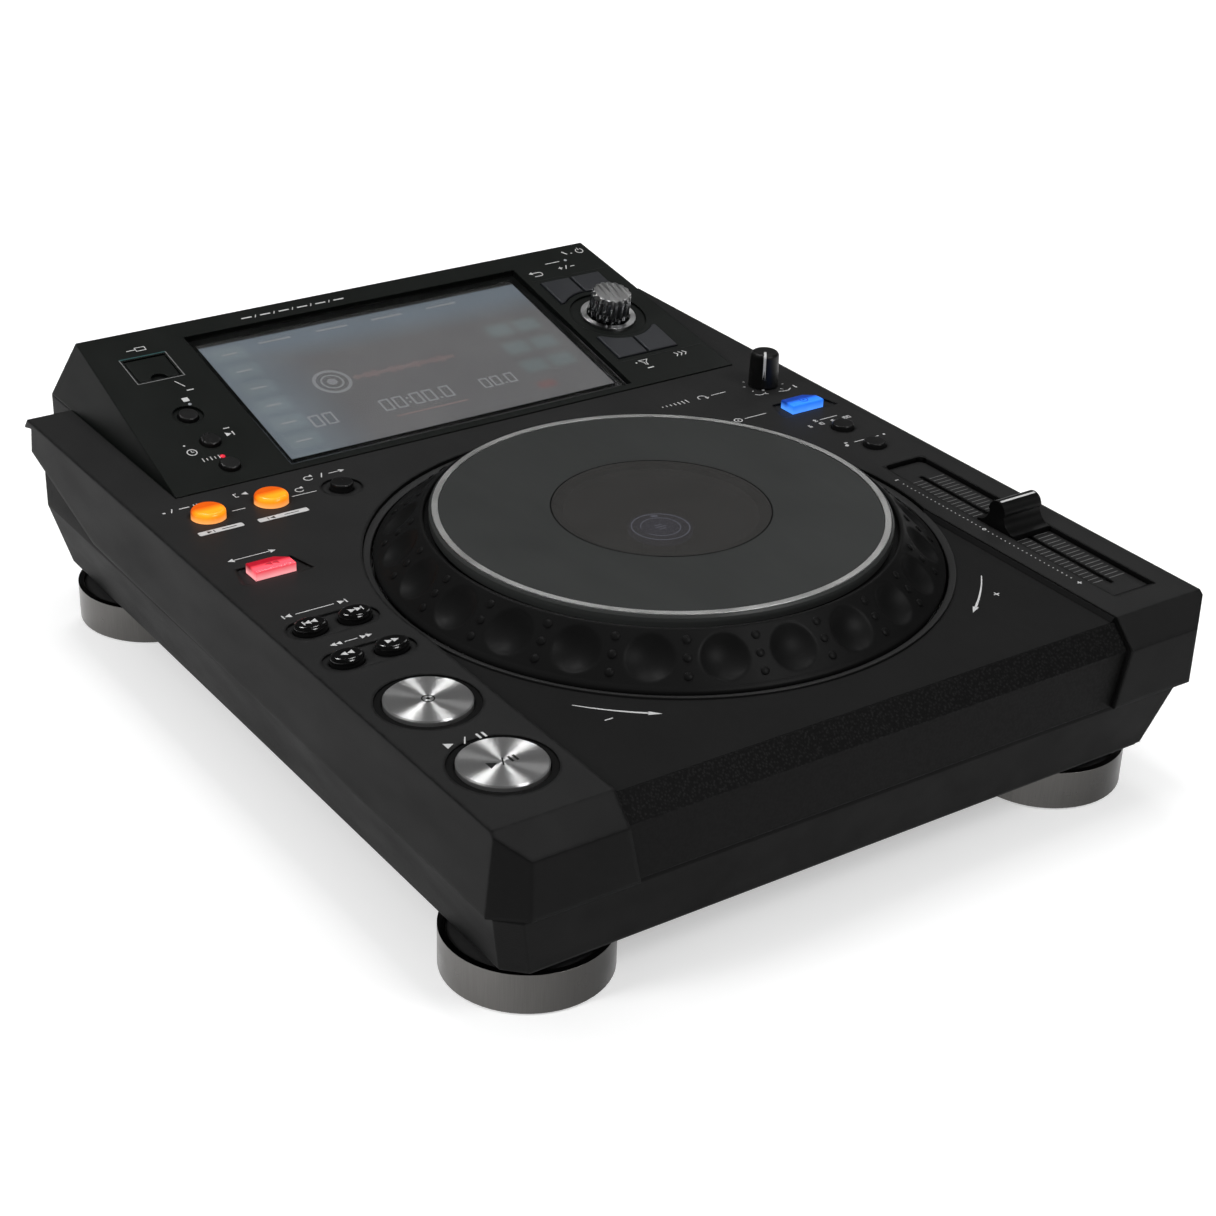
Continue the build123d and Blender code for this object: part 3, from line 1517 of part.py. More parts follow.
# Rear panel and sockets
def rear_plane(y):
    # Seen from the front: X to the right and Z up, with the normal to the back
    return Plane(origin=(0, y, 0), x_dir=(-1, 0, 0), z_dir=(0, 1, 0))


network_centre = (network_share * rear_half, board_face + network_tall / 2)
usb_b_centre = (usb_b_share * rear_half, board_face + usb_b_tall / 2)
inlet_centre = (inlet_share * rear_half, inlet_height)
line_out_x = line_out_share * rear_half
line_out_height = board_face + line_out_block_tall / 2
line_out_places = [
    (line_out_x - line_out_spacing / 2, line_out_height),
    (line_out_x + line_out_spacing / 2, line_out_height),
]
power_button_place = (rear_half - power_button_from_side, power_button_height)


def on_rear(place):
    # The rear plane's own X runs to the left
    return (-place[0], place[1])


with BuildPart() as rear_panel:
    block(
        (-rear_panel_width / 2, rear_wall_y, rear_panel_low),
        (rear_panel_width / 2, rear_face_y, rear_panel_high),
    )
    with BuildSketch(rear_plane(rear_wall_y)):
        with Locations(on_rear(inlet_centre)):
            Rectangle(inlet_width + 2 * touch_gap, inlet_tall + 2 * touch_gap)
        with Locations(on_rear(network_centre)):
            Rectangle(network_width + 2 * touch_gap, network_tall + 2 * touch_gap)
        with Locations(on_rear(usb_b_centre)):
            Rectangle(usb_b_width + 2 * touch_gap, usb_b_tall + 2 * touch_gap)
        with Locations(*[on_rear(place) for place in line_out_places]):
            Circle(line_out_collar_radius + touch_gap)
        with Locations(on_rear(power_button_place)):
            Circle(power_button_radius + touch_gap)
    extrude(amount=rear_panel_sheet, mode=Mode.SUBTRACT)
keep(rear_panel, "rear_panel")

with BuildPart() as power_inlet:
    with BuildSketch(rear_plane(rear_face_y)):
        with Locations(on_rear(inlet_centre)):
            Rectangle(inlet_width, inlet_tall)
    extrude(amount=-inlet_depth)
    with BuildSketch(rear_plane(rear_face_y)):
        with Locations(on_rear(inlet_centre)):
            Rectangle(inlet_width + 2 * inlet_flange, inlet_tall + 2 * inlet_flange)
    extrude(amount=inlet_flange_thickness)
    with BuildSketch(rear_plane(rear_face_y + inlet_flange_thickness)):
        with Locations(on_rear(inlet_centre)):
            SlotOverall(inlet_mouth_width, inlet_mouth_tall)
    extrude(amount=-inlet_mouth_depth, mode=Mode.SUBTRACT)
    with BuildSketch(rear_plane(rear_face_y + inlet_flange_thickness - inlet_mouth_depth)):
        with Locations(on_rear(inlet_centre)):
            with GridLocations(inlet_pin_spacing, 0, 2, 1):
                Circle(inlet_pin_radius)
    extrude(amount=inlet_mouth_depth - inlet_pin_sink)
keep(power_inlet, "power_inlet")

with BuildPart() as network_socket:
    with BuildSketch(rear_plane(rear_face_y + network_proud)):
        with Locations(on_rear(network_centre)):
            Rectangle(network_width, network_tall)
    extrude(amount=-network_depth)
    with BuildSketch(rear_plane(rear_face_y + network_proud)):
        with Locations(on_rear(network_centre)):
            Rectangle(network_mouth_width, network_mouth_tall)
    extrude(amount=-network_mouth_depth, mode=Mode.SUBTRACT)
keep(network_socket, "network_socket")

with BuildPart() as usb_b_socket:
    with BuildSketch(rear_plane(rear_face_y + usb_b_proud)):
        with Locations(on_rear(usb_b_centre)):
            Rectangle(usb_b_width, usb_b_tall)
    extrude(amount=-usb_b_depth)
    with BuildSketch(rear_plane(rear_face_y + usb_b_proud)):
        with Locations(on_rear(usb_b_centre)):
            Rectangle(usb_b_mouth_width, usb_b_mouth_tall)
    extrude(amount=-usb_b_mouth_depth, mode=Mode.SUBTRACT)
    with BuildSketch(rear_plane(rear_face_y + usb_b_proud - usb_b_mouth_depth)):
        with Locations(on_rear(usb_b_centre)):
            Rectangle(usb_b_tongue_width, usb_b_tongue_tall)
    extrude(amount=usb_b_mouth_depth - usb_b_tongue_sink)
keep(usb_b_socket, "usb_b_socket")

with BuildPart() as line_out_jacks:
    for place in line_out_places:
        with BuildSketch(rear_plane(rear_wall_y)):
            with Locations(on_rear(place)):
                Rectangle(line_out_block_width, line_out_block_tall)
        extrude(amount=-line_out_block_depth)
        with BuildSketch(rear_plane(rear_wall_y)):
            with Locations(on_rear(place)):
                Circle(line_out_collar_radius)
        extrude(amount=rear_panel_sheet)
        with BuildSketch(rear_plane(rear_face_y)):
            with Locations(on_rear(place)):
                Circle(line_out_shell_radius)
        extrude(amount=line_out_shell_length)
        with BuildSketch(rear_plane(rear_face_y + line_out_shell_length)):
            with Locations(on_rear(place)):
                Circle(line_out_bore_radius)
        extrude(amount=-line_out_bore_depth, mode=Mode.SUBTRACT)
keep(line_out_jacks, "line_out_jacks")

with BuildPart() as power_button:
    with BuildSketch(rear_plane(rear_wall_y - touch_gap)):
        with Locations(on_rear(power_button_place)):
            Circle(power_button_radius)
    extrude(amount=touch_gap + rear_panel_sheet + power_button_proud)
    fillet(power_button.faces().sort_by(Axis.Y)[-1].edges(), key_crown)
    with BuildSketch(rear_plane(rear_wall_y - touch_gap)):
        with Locations(on_rear(power_button_place)):
            Circle(power_button_radius + power_button_flange)
    extrude(amount=-power_button_flange_thickness)
keep(power_button, "power_button")

# Boards in the base
with BuildPart() as main_board:
    block(
        (main_board_left, main_board_rear - main_board_depth, board_low),
        (main_board_left + main_board_width, main_board_rear, board_face),
    )
    with BuildSketch(Plane.XY.offset(board_face)):
        with Locations((main_board_x + chip_side, main_board_y - chip_side)):
            Rectangle(chip_side, chip_side)
        with Locations((main_board_x - chip_side, main_board_y)):
            Rectangle(chip_side, chip_side)
    extrude(amount=chip_height)
keep(main_board, "main_board")

with BuildPart() as power_board:
    block(
        (power_board_left, power_board_rear - power_board_depth, board_low),
        (power_board_left + power_board_width, power_board_rear, board_face),
    )
    with BuildSketch(Plane.XY.offset(board_face)):
        with Locations((power_board_x, power_board_y)):
            Rectangle(transformer_width, transformer_depth)
    extrude(amount=transformer_height)
    with BuildSketch(Plane.XY.offset(board_face)):
        with Locations((power_board_x, power_board_y)):
            with GridLocations(2 * capacitor_shift, 2 * capacitor_shift, 2, 1):
                Circle(capacitor_radius)
    extrude(amount=capacitor_height)
    with BuildSketch(Plane.XY.offset(board_face)):
        with Locations((power_board_x, power_board_y + transformer_depth)):
            Rectangle(heat_sink_width, heat_sink_depth / 2)
    extrude(amount=heat_sink_height)
keep(power_board, "power_board")
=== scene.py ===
import json
import math

import bmesh
import bpy
from mathutils import Matrix, Vector


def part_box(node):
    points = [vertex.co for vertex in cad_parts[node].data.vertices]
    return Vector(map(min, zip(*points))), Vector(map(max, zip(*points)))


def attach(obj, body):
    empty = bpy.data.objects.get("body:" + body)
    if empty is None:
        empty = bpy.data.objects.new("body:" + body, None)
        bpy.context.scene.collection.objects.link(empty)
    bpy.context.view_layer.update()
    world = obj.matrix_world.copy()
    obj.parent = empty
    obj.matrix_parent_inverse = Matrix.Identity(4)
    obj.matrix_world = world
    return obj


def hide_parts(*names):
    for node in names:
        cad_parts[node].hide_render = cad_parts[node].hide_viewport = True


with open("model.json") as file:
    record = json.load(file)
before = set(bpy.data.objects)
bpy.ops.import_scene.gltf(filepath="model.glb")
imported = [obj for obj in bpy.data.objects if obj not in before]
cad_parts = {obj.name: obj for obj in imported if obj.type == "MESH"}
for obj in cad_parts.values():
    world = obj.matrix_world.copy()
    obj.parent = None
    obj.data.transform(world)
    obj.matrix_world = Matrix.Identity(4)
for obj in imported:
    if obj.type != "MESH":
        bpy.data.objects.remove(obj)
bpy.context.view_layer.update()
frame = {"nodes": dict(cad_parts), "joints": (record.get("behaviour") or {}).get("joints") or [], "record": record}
nodes = frame["nodes"]

# Sizes are in millimetres and angles in degrees, unless a name says otherwise.
mm = 0.001


# Places, read from the frame

to_right, to_back, to_top = Matrix.Identity(3)


def node_box(node):
    low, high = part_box(node)
    return low / mm, high / mm


def node_middle(node):
    low, high = node_box(node)
    return (low + high) / 2


def node_top(node):
    return node_box(node)[1].z


def plane_of(origin, across, along, out):
    """A working plane with its own axes; it takes millimetres on it to metres in the frame."""
    axes = Matrix((across, along, out)).transposed().to_4x4()
    return Matrix.Scale(mm, 4) @ Matrix.Translation(origin) @ axes


def level_plane(x, y, height):
    return plane_of((x, y, height), to_right, to_back, to_top)


def top_plane(node):
    middle = node_middle(node)
    return level_plane(middle.x, middle.y, node_top(node))


deck_z = node_top("upper_case")
panel_z = node_top("centre_panel")
scale_z = node_top("tempo_scale_plate")
jog_x, jog_y, _ = node_middle("jog_plate")
fader_middle = node_middle("tempo_cap")

# The slope of the screen housing: X across, Y up along the slope, Z out of it
slope_foot_y = 74.0
slope_foot_z = 82.5
press_axes = {joint["name"]: Vector(joint["axis"]) for joint in frame["joints"]}
slope_out = -press_axes["back_press"]
slope_along = Vector((0, slope_out.z, -slope_out.y))


def slope_plane(x, along, lift=0.0):
    origin = Vector((x, slope_foot_y, slope_foot_z)) + slope_along * along + slope_out * lift
    return plane_of(origin, to_right, slope_along, slope_out)


# The display lies under the slope's face, with a column of tabs at its left edge
display_along = 53.0
display_lift = -3.7
display_plane = slope_plane(0, display_along, display_lift)
tab_x = -66.5
tab_first = 33.0
tab_pitch = 13.2
tab_count = 6


# Solids, gathered into one mesh for each piece

def polar(radius, angle):
    return radius * math.cos(math.radians(angle)), radius * math.sin(math.radians(angle))


def ring_points(x, y, radius, start, end, steps):
    spots = [polar(radius, start + (end - start) * i / steps) for i in range(steps + 1)]
    return [(x + u, y + v) for u, v in spots]


class Shapes:
    """Closed solids in one mesh, drawn in millimetres on a working plane."""

    def __init__(self, plane):
        self.plane = plane
        self.points = []
        self.faces = []

    def put(self, x, y, z):
        self.points.append(self.plane @ Vector((x, y, z)))

    def join_rows(self, lower, upper, count):
        for i in range(count):
            j = (i + 1) % count
            self.faces.append([lower + i, lower + j, upper + j, upper + i])

    def prism(self, outline, low, high):
        first = len(self.points)
        count = len(outline)
        for height in (low, high):
            for x, y in outline:
                self.put(x, y, height)
        self.faces.append([first + i for i in reversed(range(count))])
        self.faces.append([first + count + i for i in range(count)])
        self.join_rows(first, first + count, count)

    def lathe(self, profile, steps=16):
        """Turns (radius, height) points round an upright axis; the first and the last lie on it."""
        first = len(self.points)
        rings = profile[1:-1]
        for radius, height in rings:
            for x, y in ring_points(0, 0, radius, 0, 360, steps)[:-1]:
                self.put(x, y, height)
        for row in range(len(rings) - 1):
            self.join_rows(first + row * steps, first + (row + 1) * steps, steps)
        last = first + (len(rings) - 1) * steps
        low_pole = last + steps
        high_pole = low_pole + 1
        self.put(0, 0, profile[0][1])
        self.put(0, 0, profile[-1][1])
        for i in range(steps):
            j = (i + 1) % steps
            self.faces.append([low_pole, first + j, first + i])
            self.faces.append([last + i, last + j, high_pole])

    def turn(self, profiles):
        """Joins closed profiles of (radius, height) points, set evenly round an upright axis."""
        first = len(self.points)
        count = len(profiles[0])
        steps = len(profiles)
        for i, profile in enumerate(profiles):
            for radius, height in profile:
                self.put(*polar(radius, 360 * i / steps), height)
        for i in range(steps):
            self.join_rows(first + i * count, first + (i + 1) % steps * count, count)

    def tube(self, profile, steps=64):
        self.turn([profile] * steps)


print_sunk = 0.05
print_lift = 0.06
label_stroke = 0.42
thin_stroke = 0.35
symbol_stroke = 0.5

# Plain numbers as paths in a box of one by one
number_paths = {
    "0": [[(0, 0), (1, 0), (1, 1), (0, 1), (0, 0)]],
    "1": [[(1, 0), (1, 1)]],
    "2": [[(0, 1), (1, 1), (1, 0.5), (0, 0.5), (0, 0), (1, 0)]],
    "4": [[(0, 1), (0, 0.5), (1, 0.5)], [(1, 1), (1, 0)]],
    "6": [[(1, 1), (0, 1), (0, 0), (1, 0), (1, 0.5), (0, 0.5)]],
}
number_width = 0.55
number_step = 1.55
point_width = 1.2
point_step = 0.5


class Marks(Shapes):
    """Printed marks: thin shapes that stand just proud of a flat face."""

    def fill(self, outline):
        self.prism(outline, -print_sunk, print_lift)

    def box(self, x, y, width, depth):
        x0, x1 = x - width / 2, x + width / 2
        y0, y1 = y - depth / 2, y + depth / 2
        self.fill([(x0, y0), (x1, y0), (x1, y1), (x0, y1)])

    def pill(self, x, y, width, depth, corner):
        outline = []
        for turn, (side, end) in enumerate([(1, 1), (-1, 1), (-1, -1), (1, -1)]):
            corner_x = x + side * (width / 2 - corner)
            corner_y = y + end * (depth / 2 - corner)
            outline += ring_points(corner_x, corner_y, corner, 90 * turn, 90 * turn + 90, 5)
        self.fill(outline)

    def dot(self, x, y, radius, steps=14):
        self.fill(ring_points(x, y, radius, 0, 360, steps)[:-1])

    def cross(self, x, y, size, width=label_stroke):
        far = size / 2
        near = width / 2
        self.fill([(x + u, y + v) for u, v in (
            (far, -near), (far, near), (near, near), (near, far), (-near, far), (-near, near),
            (-far, near), (-far, -near), (-near, -near), (-near, -far), (near, -far), (near, -near))])

    def arrow(self, x, y, length, half, angle=0):
        """A filled triangle round (x, y) that points along the angle."""
        middle = Vector((x, y))
        along = Vector(polar(length / 2, angle))
        side = Vector(polar(half, angle + 90))
        self.fill([middle - along - side, middle + along, middle - along + side])

    def band(self, left, right, closed):
        """A strip between two rows of points, closed into a ring or capped at its ends."""
        first = len(self.points)
        for (x0, y0), (x1, y1) in zip(left, right):
            self.put(x0, y0, -print_sunk)
            self.put(x1, y1, -print_sunk)
            self.put(x1, y1, print_lift)
            self.put(x0, y0, print_lift)
        last = len(self.points) - 4
        for row in range(first, last, 4):
            self.join_rows(row, row + 4, 4)
        if closed:
            self.join_rows(last, first, 4)
        else:
            self.faces.append([first + 3, first + 2, first + 1, first])
            self.faces.append([last, last + 1, last + 2, last + 3])

    def line(self, width, *points):
        """A band along a row of points, mitred at its corners; equal ends close it."""
        closed = points[0] == points[-1]
        path = [Vector(point) for point in (points[:-1] if closed else points)]
        following = path[1:] + path[:1] if closed else path[1:]
        sides = [(after - spot).normalized().orthogonal() for spot, after in zip(path, following)]
        left = []
        right = []
        for i, spot in enumerate(path):
            before = sides[i - 1] if closed or i > 0 else sides[0]
            after = sides[min(i, len(sides) - 1)]
            mitre = (before + after) / (1 + before.dot(after)) * width / 2
            left.append(spot + mitre)
            right.append(spot - mitre)
        self.band(left, right, closed)

    def label(self, *points):
        self.line(label_stroke, *points)

    def arc(self, x, y, radius, start, end, steps=24, width=label_stroke, end_width=None):
        """A band along an arc; it tapers to end_width where that is given."""
        last_width = width if end_width is None else end_width
        closed = end - start == 360
        outer = []
        inner = []
        for i in range(steps if closed else steps + 1):
            angle = start + (end - start) * i / steps
            half = (width + (last_width - width) * i / steps) / 2
            for row, reach in ((outer, radius + half), (inner, radius - half)):
                u, v = polar(reach, angle)
                row.append((x + u, y + v))
        self.band(outer, inner, closed)

    def number(self, text, x, y, height, stroke=label_stroke):
        """Plain square numbers, written from x to the right."""
        width = height * number_width
        points = {":": (0.3, 0.7), ".": (stroke / height / 2,)}
        for mark in text:
            for path in number_paths.get(mark, ()):
                self.line(stroke, *[(x + u * width, y + v * height) for u, v in path])
            for level in points.get(mark, ()):
                self.box(x, y + level * height, stroke * point_width, stroke * point_width)
            x += width * (point_step if mark in points else number_step)


def add_object(name, data):
    made = bpy.data.objects.new(name, data)
    bpy.context.scene.collection.objects.link(made)
    return made


def piece(name, shapes, material, body, smooth_angle=None):
    """Makes the mesh of the gathered solids, which rides on a body."""
    mesh = bpy.data.meshes.new(name)
    mesh.from_pydata(shapes.points, [], shapes.faces)
    work = bmesh.new()
    work.from_mesh(mesh)
    bmesh.ops.recalc_face_normals(work, faces=work.faces)
    work.to_mesh(mesh)
    work.free()
    if smooth_angle is not None:
        mesh.shade_smooth()
        mesh.set_sharp_from_angle(angle=math.radians(smooth_angle))
    mesh.materials.append(material)
    made = add_object(name, mesh)
    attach(made, body)
    return made


def printed(name, plane, material, slot, *tables, body="case"):
    """A piece of marks, from tables with rows of values for each kind of mark."""
    marks = Marks(plane)
    for table in tables:
        for kind, rows in table.items():
            for values in rows:
                getattr(marks, kind)(*values)
    piece(name, marks, material, body)


# Materials

noise_low = 0.3
noise_high = 0.7


class Tree:
    """The nodes of a material or of the world."""

    def __init__(self, owner):
        owner.use_nodes = True
        self.nodes = owner.node_tree.nodes
        self.links = owner.node_tree.links

    def node(self, kind, inputs=(), **settings):
        made = self.nodes.new("ShaderNode" + kind)
        for key, value in settings.items():
            setattr(made, key, value)
        for socket, value in dict(inputs).items():
            if isinstance(value, bpy.types.NodeSocket):
                self.links.new(value, made.inputs[socket])
            else:
                made.inputs[socket].default_value = value
        return made

    def split(self, vector):
        return self.node("SeparateXYZ", {"Vector": vector}).outputs

    def vector(self, operation, *inputs):
        return self.node("VectorMath", dict(enumerate(inputs)), operation=operation).outputs

    def sums(self, operation, *inputs):
        return self.node("Math", dict(enumerate(inputs)), operation=operation).outputs[0]

    def spread(self, value, low, high, to_low=0.0, to_high=1.0, curve="LINEAR"):
        """Takes low..high to to_low..to_high, and holds the ends beyond."""
        inputs = {"Value": value, "From Min": low, "From Max": high, "To Min": to_low, "To Max": to_high}
        return self.node("MapRange", inputs, interpolation_type=curve).outputs["Result"]

    def blend(self, factor, first, second, kind="MIX"):
        inputs = {0: factor, 6: first, 7: second}
        return self.node("Mix", inputs, data_type="RGBA", blend_type=kind).outputs[2]


class Paint(Tree):
    """A node material round one shader, with its patterns in millimetres of the object's own frame."""

    def __init__(self, name, **shader_values):
        self.material = bpy.data.materials.new(name)
        super().__init__(self.material)
        self.shader = self.nodes["Principled BSDF"]
        self.normal = None
        for socket, value in shader_values.items():
            self.shader.inputs[socket.replace("_", " ")].default_value = value

    def set(self, socket, value):
        self.links.new(value, self.shader.inputs[socket])

    def place(self, stretch=(1, 1, 1)):
        """The point's place in millimetres, stretched along the axes."""
        here = self.node("TexCoord").outputs["Object"]
        scale = [1 / mm / s for s in stretch]
        return self.node("Mapping", {"Vector": here, "Scale": scale}).outputs["Vector"]

    def outward(self):
        return self.node("NewGeometry").outputs["Normal"]

    def noise(self, size, detail=2.0, stretch=(1, 1, 1)):
        inputs = {"Vector": self.place(stretch), "Scale": 1 / size, "Detail": detail}
        return self.node("TexNoise", inputs).outputs["Fac"]

    def cells(self, size):
        return self.node("TexVoronoi", {"Vector": self.place(), "Scale": 1 / size}).outputs["Distance"]

    def vary(self, noise, low, high):
        """Takes a noise's usual range to low..high."""
        return self.spread(noise, noise_low, noise_high, low, high)

    def mottle(self, noise, colour, low, high):
        return self.blend(noise, shade(colour, low), shade(colour, high))

    def soften(self, radius):
        """Rounds the edges' shading and returns a mask that is high on them."""
        edge_starts = 0.985
        edge_full = 0.8
        self.normal = self.node("Bevel", {"Radius": radius * mm}, samples=4).outputs["Normal"]
        same = self.vector("DOT_PRODUCT", self.normal, self.outward())["Value"]
        return self.spread(same, edge_starts, edge_full)

    def top_light_mask(self):
        """A mask for painted top light: high on upward faces, broken up a little by noise."""
        facing = self.spread(self.split(self.outward())["Z"], 0.25, 0.98)
        patches = self.spread(self.noise(25, 5), 0.25, 0.75, 0.82, 1.0)
        return self.sums("MULTIPLY", facing, patches)

    def bump(self, height, depth):
        inputs = {"Height": height, "Distance": depth * mm, "Strength": 1.0}
        if self.normal is not None:
            inputs["Normal"] = self.normal
        self.normal = self.node("Bump", inputs).outputs["Normal"]

    def done(self):
        if self.normal is not None:
            self.set("Normal", self.normal)
        return self.material


def grey(level):
    return (level, level, level, 1)


def shade(colour, factor):
    return tuple(min(1, channel * factor) for channel in colour[:3]) + (1,)


def plastic(name, colour, roughness, grain=0.5, depth=0.03, specular=0.4, edge=0.4, edge_wear_and_shade=1.6, coat=0.0,
            painted_top_light=None):
    """Moulded plastic: fine grain, faint clouding and smears, edges tinted by a factor (above one, paler with
    wear; below one, painted shade), and upward faces painted paler as painted top light.
    """
    paint = Paint(name, Specular_IOR_Level=specular, Coat_Weight=coat, Coat_Roughness=0.08)
    # Edge tint: paler with wear where the factor is above one, painted shade of the rounded edges where it is
    # below one.
    wear_and_shade_mask = paint.sums("MULTIPLY", paint.soften(edge), paint.spread(paint.noise(3, 5), 0.35, 0.7))
    body = paint.mottle(paint.noise(45, 4), colour, 0.86, 1.14)
    # Upward faces painted paler: painted top light, broken up by noise.
    if painted_top_light is not None:
        body = paint.blend(paint.top_light_mask(), body, painted_top_light)
    paint.set("Base Color", paint.blend(wear_and_shade_mask, body, shade(colour, edge_wear_and_shade)))
    smears = paint.noise(14, 5, (1, 3, 1))
    paint.set("Roughness", paint.vary(smears, roughness - 0.05, roughness + 0.05))
    paint.bump(paint.noise(grain, 2), depth)
    return paint.done()


def leather_grain(name, colour, roughness, specular):
    """A moulded hide pattern of small domed cells on the bevel, with the dome tops painted paler as painted
    highlight; the face below it is smooth.
    """
    fold_z = 71.9
    fold_blur = 0.4
    paint = Paint(name, Specular_IOR_Level=specular)
    bevel = paint.spread(paint.split(paint.place())["Z"], fold_z - fold_blur, fold_z + fold_blur)
    edges = paint.soften(0.5)
    body = paint.mottle(paint.noise(30, 3), colour, 0.85, 1.15)
    cell = paint.cells(1.1)
    dome_height_and_highlight = paint.sums("MULTIPLY", paint.spread(cell, 0.1, 0.55, 1.0, 0.0), bevel)
    # The dome tops are painted paler: painted highlight where they catch light. The same mask bumps them.
    body = paint.blend(dome_height_and_highlight, body, shade(colour, 2.6))
    paint.set("Base Color", paint.blend(edges, body, shade(colour, 1.7)))
    paint.set("Roughness", paint.spread(cell, 0.1, 0.7, roughness - 0.08, roughness + 0.1))
    paint.bump(dome_height_and_highlight, 0.1)
    paint.bump(paint.noise(0.35, 2), 0.02)
    return paint.done()


def metal(name, colour, roughness, size=0.25, depth=0.008, stretch=(1, 1, 1), shaded_side=None):
    """Brushed metal with fine lines along the stretched axis, and painted shade: darker where it faces the given
    side.
    """
    shade_starts = -0.85
    shade_full = 0.95
    shade_depth = 0.26
    paint = Paint(name, Metallic=1.0)
    edges = paint.soften(0.25)
    lines = paint.noise(size, 4, stretch)
    body = paint.mottle(lines, colour, 0.8, 1.2)
    # Painted shade: darker on the side that faces the given direction.
    if shaded_side is not None:
        facing = paint.vector("DOT_PRODUCT", paint.outward(), shaded_side)["Value"]
        body = paint.blend(paint.spread(facing, shade_starts, shade_full), body, shade(colour, shade_depth))
    paint.set("Base Color", paint.blend(edges, body, shade(colour, 1.35)))
    paint.set("Roughness", paint.vary(paint.noise(12, 4), roughness - 0.05, roughness + 0.07))
    paint.bump(lines, depth)
    return paint.done()


def turned_metal(name, colour, roughness, node, anisotropic=1.0, metallic=1.0):
    """A faced disc: fine rings round its own middle, so that highlights fan out from there."""
    ring_pitch = 0.28
    paint = Paint(name, Metallic=metallic, Anisotropic=anisotropic)
    edges = paint.soften(0.25)
    local = paint.vector("SUBTRACT", paint.place(), node_middle(node))[0]
    flat = paint.vector("MULTIPLY", local, (1, 1, 0))[0]
    radius = paint.vector("LENGTH", flat)["Value"]
    rings = paint.node("TexNoise", {"W": radius, "Scale": 1 / ring_pitch, "Detail": 3.0},
                       noise_dimensions="1D").outputs["Fac"]
    body = paint.mottle(rings, colour, 0.88, 1.1)
    paint.set("Base Color", paint.blend(edges, body, shade(colour, 1.25)))
    paint.set("Roughness", paint.vary(rings, roughness - 0.04, roughness + 0.05))
    paint.bump(rings, 0.004)
    paint.set("Tangent", paint.vector("NORMALIZE", flat)[0])
    return paint.done()


def lit_key(key, skirt_ends, cap_starts, glow, skirt, cap, far):
    """A translucent key with a lamp inside: paler at the skirt, and painted darker on the far part of its cap as
    painted shade.
    """
    near_ends = 0.34
    far_starts = 0.6
    low, high = node_box(key + "_button")
    size = high - low
    paint = Paint(key + "_lit", Roughness=0.28, Specular_IOR_Level=0.4, Coat_Weight=0.3,
                  Emission_Strength=glow)
    place = paint.split(paint.place())
    rise = paint.spread(place["Z"], low.z + size.z * skirt_ends, low.z + size.z * cap_starts)
    distance = paint.spread(place["Y"], low.y + size.y * near_ends, low.y + size.y * far_starts)
    edges = paint.soften(0.3)
    # The far part of the cap is painted darker: painted shade.
    colour = paint.blend(rise, skirt, paint.blend(distance, cap, far))
    paint.set("Base Color", paint.blend(edges, colour, shade(cap, 1.2)))
    clouds = paint.vary(paint.noise(5, 3), 0.9, 1.1)
    paint.set("Emission Color", paint.blend(1.0, colour, clouds, "MULTIPLY"))
    paint.bump(paint.noise(0.4, 2), 0.01)
    return paint.done()


def ink(name, colour, roughness=0.5, glow=0.0):
    """Screen-printed ink: slightly uneven in tone, with a faint mesh in it."""
    paint = Paint(name, Specular_IOR_Level=0.3, Emission_Strength=glow, Emission_Color=colour)
    tone = paint.noise(1.5, 4)
    paint.set("Base Color", paint.mottle(tone, colour, 0.82, 1.12))
    paint.set("Roughness", paint.vary(tone, roughness - 0.08, roughness + 0.08))
    paint.bump(paint.noise(0.2, 1), 0.01)
    return paint.done()


def glass(name, colour, roughness):
    """Clear cover glass with a trace of smears."""
    paint = Paint(name, Base_Color=colour, Transmission_Weight=1.0, IOR=1.45, Specular_IOR_Level=0.5)
    smears = paint.noise(18, 5, (1, 2.5, 1))
    paint.set("Roughness", paint.spread(smears, 0.35, 0.75, roughness, roughness + 0.05))
    paint.bump(paint.noise(25, 1), 0.004)
    return paint.done()


def smoked_window(name):
    """A dark satin window that lets a little of what is under it through."""
    paint = Paint(name, Specular_IOR_Level=0.25, Alpha=0.72)
    haze = paint.noise(20, 4)
    paint.set("Base Color", paint.blend(haze, (0.037, 0.036, 0.0345, 1), (0.041, 0.04, 0.0385, 1)))
    paint.set("Roughness", paint.vary(haze, 0.34, 0.42))
    paint.bump(paint.noise(0.4, 2), 0.004)
    return paint.done()


def rubber(name, colour):
    paint = Paint(name, Specular_IOR_Level=0.25)
    dust = paint.noise(2.5, 6)
    edges = paint.soften(0.4)
    body = paint.mottle(dust, colour, 0.8, 1.5)
    paint.set("Base Color", paint.blend(edges, body, shade(colour, 2.0)))
    paint.set("Roughness", paint.vary(dust, 0.6, 0.8))
    paint.bump(paint.noise(0.5, 3), 0.04)
    return paint.done()


def circuit_board(name):
    """Solder mask with copper runs under it."""
    paint = Paint(name, Specular_IOR_Level=0.5, Coat_Weight=0.3)
    runs = paint.node("TexBrick", {"Vector": paint.place(), "Scale": 0.16, "Mortar Size": 0.03},
                      offset=0.37).outputs["Fac"]
    specks = paint.spread(paint.noise(6, 3), 0.45, 0.6)
    mask = paint.blend(specks, (0.008, 0.05, 0.022, 1), (0.012, 0.075, 0.03, 1))
    paint.set("Base Color", paint.blend(runs, mask, (0.03, 0.14, 0.06, 1)))
    paint.set("Roughness", paint.spread(specks, 0, 1, 0.35, 0.5))
    paint.bump(runs, 0.03)
    return paint.done()


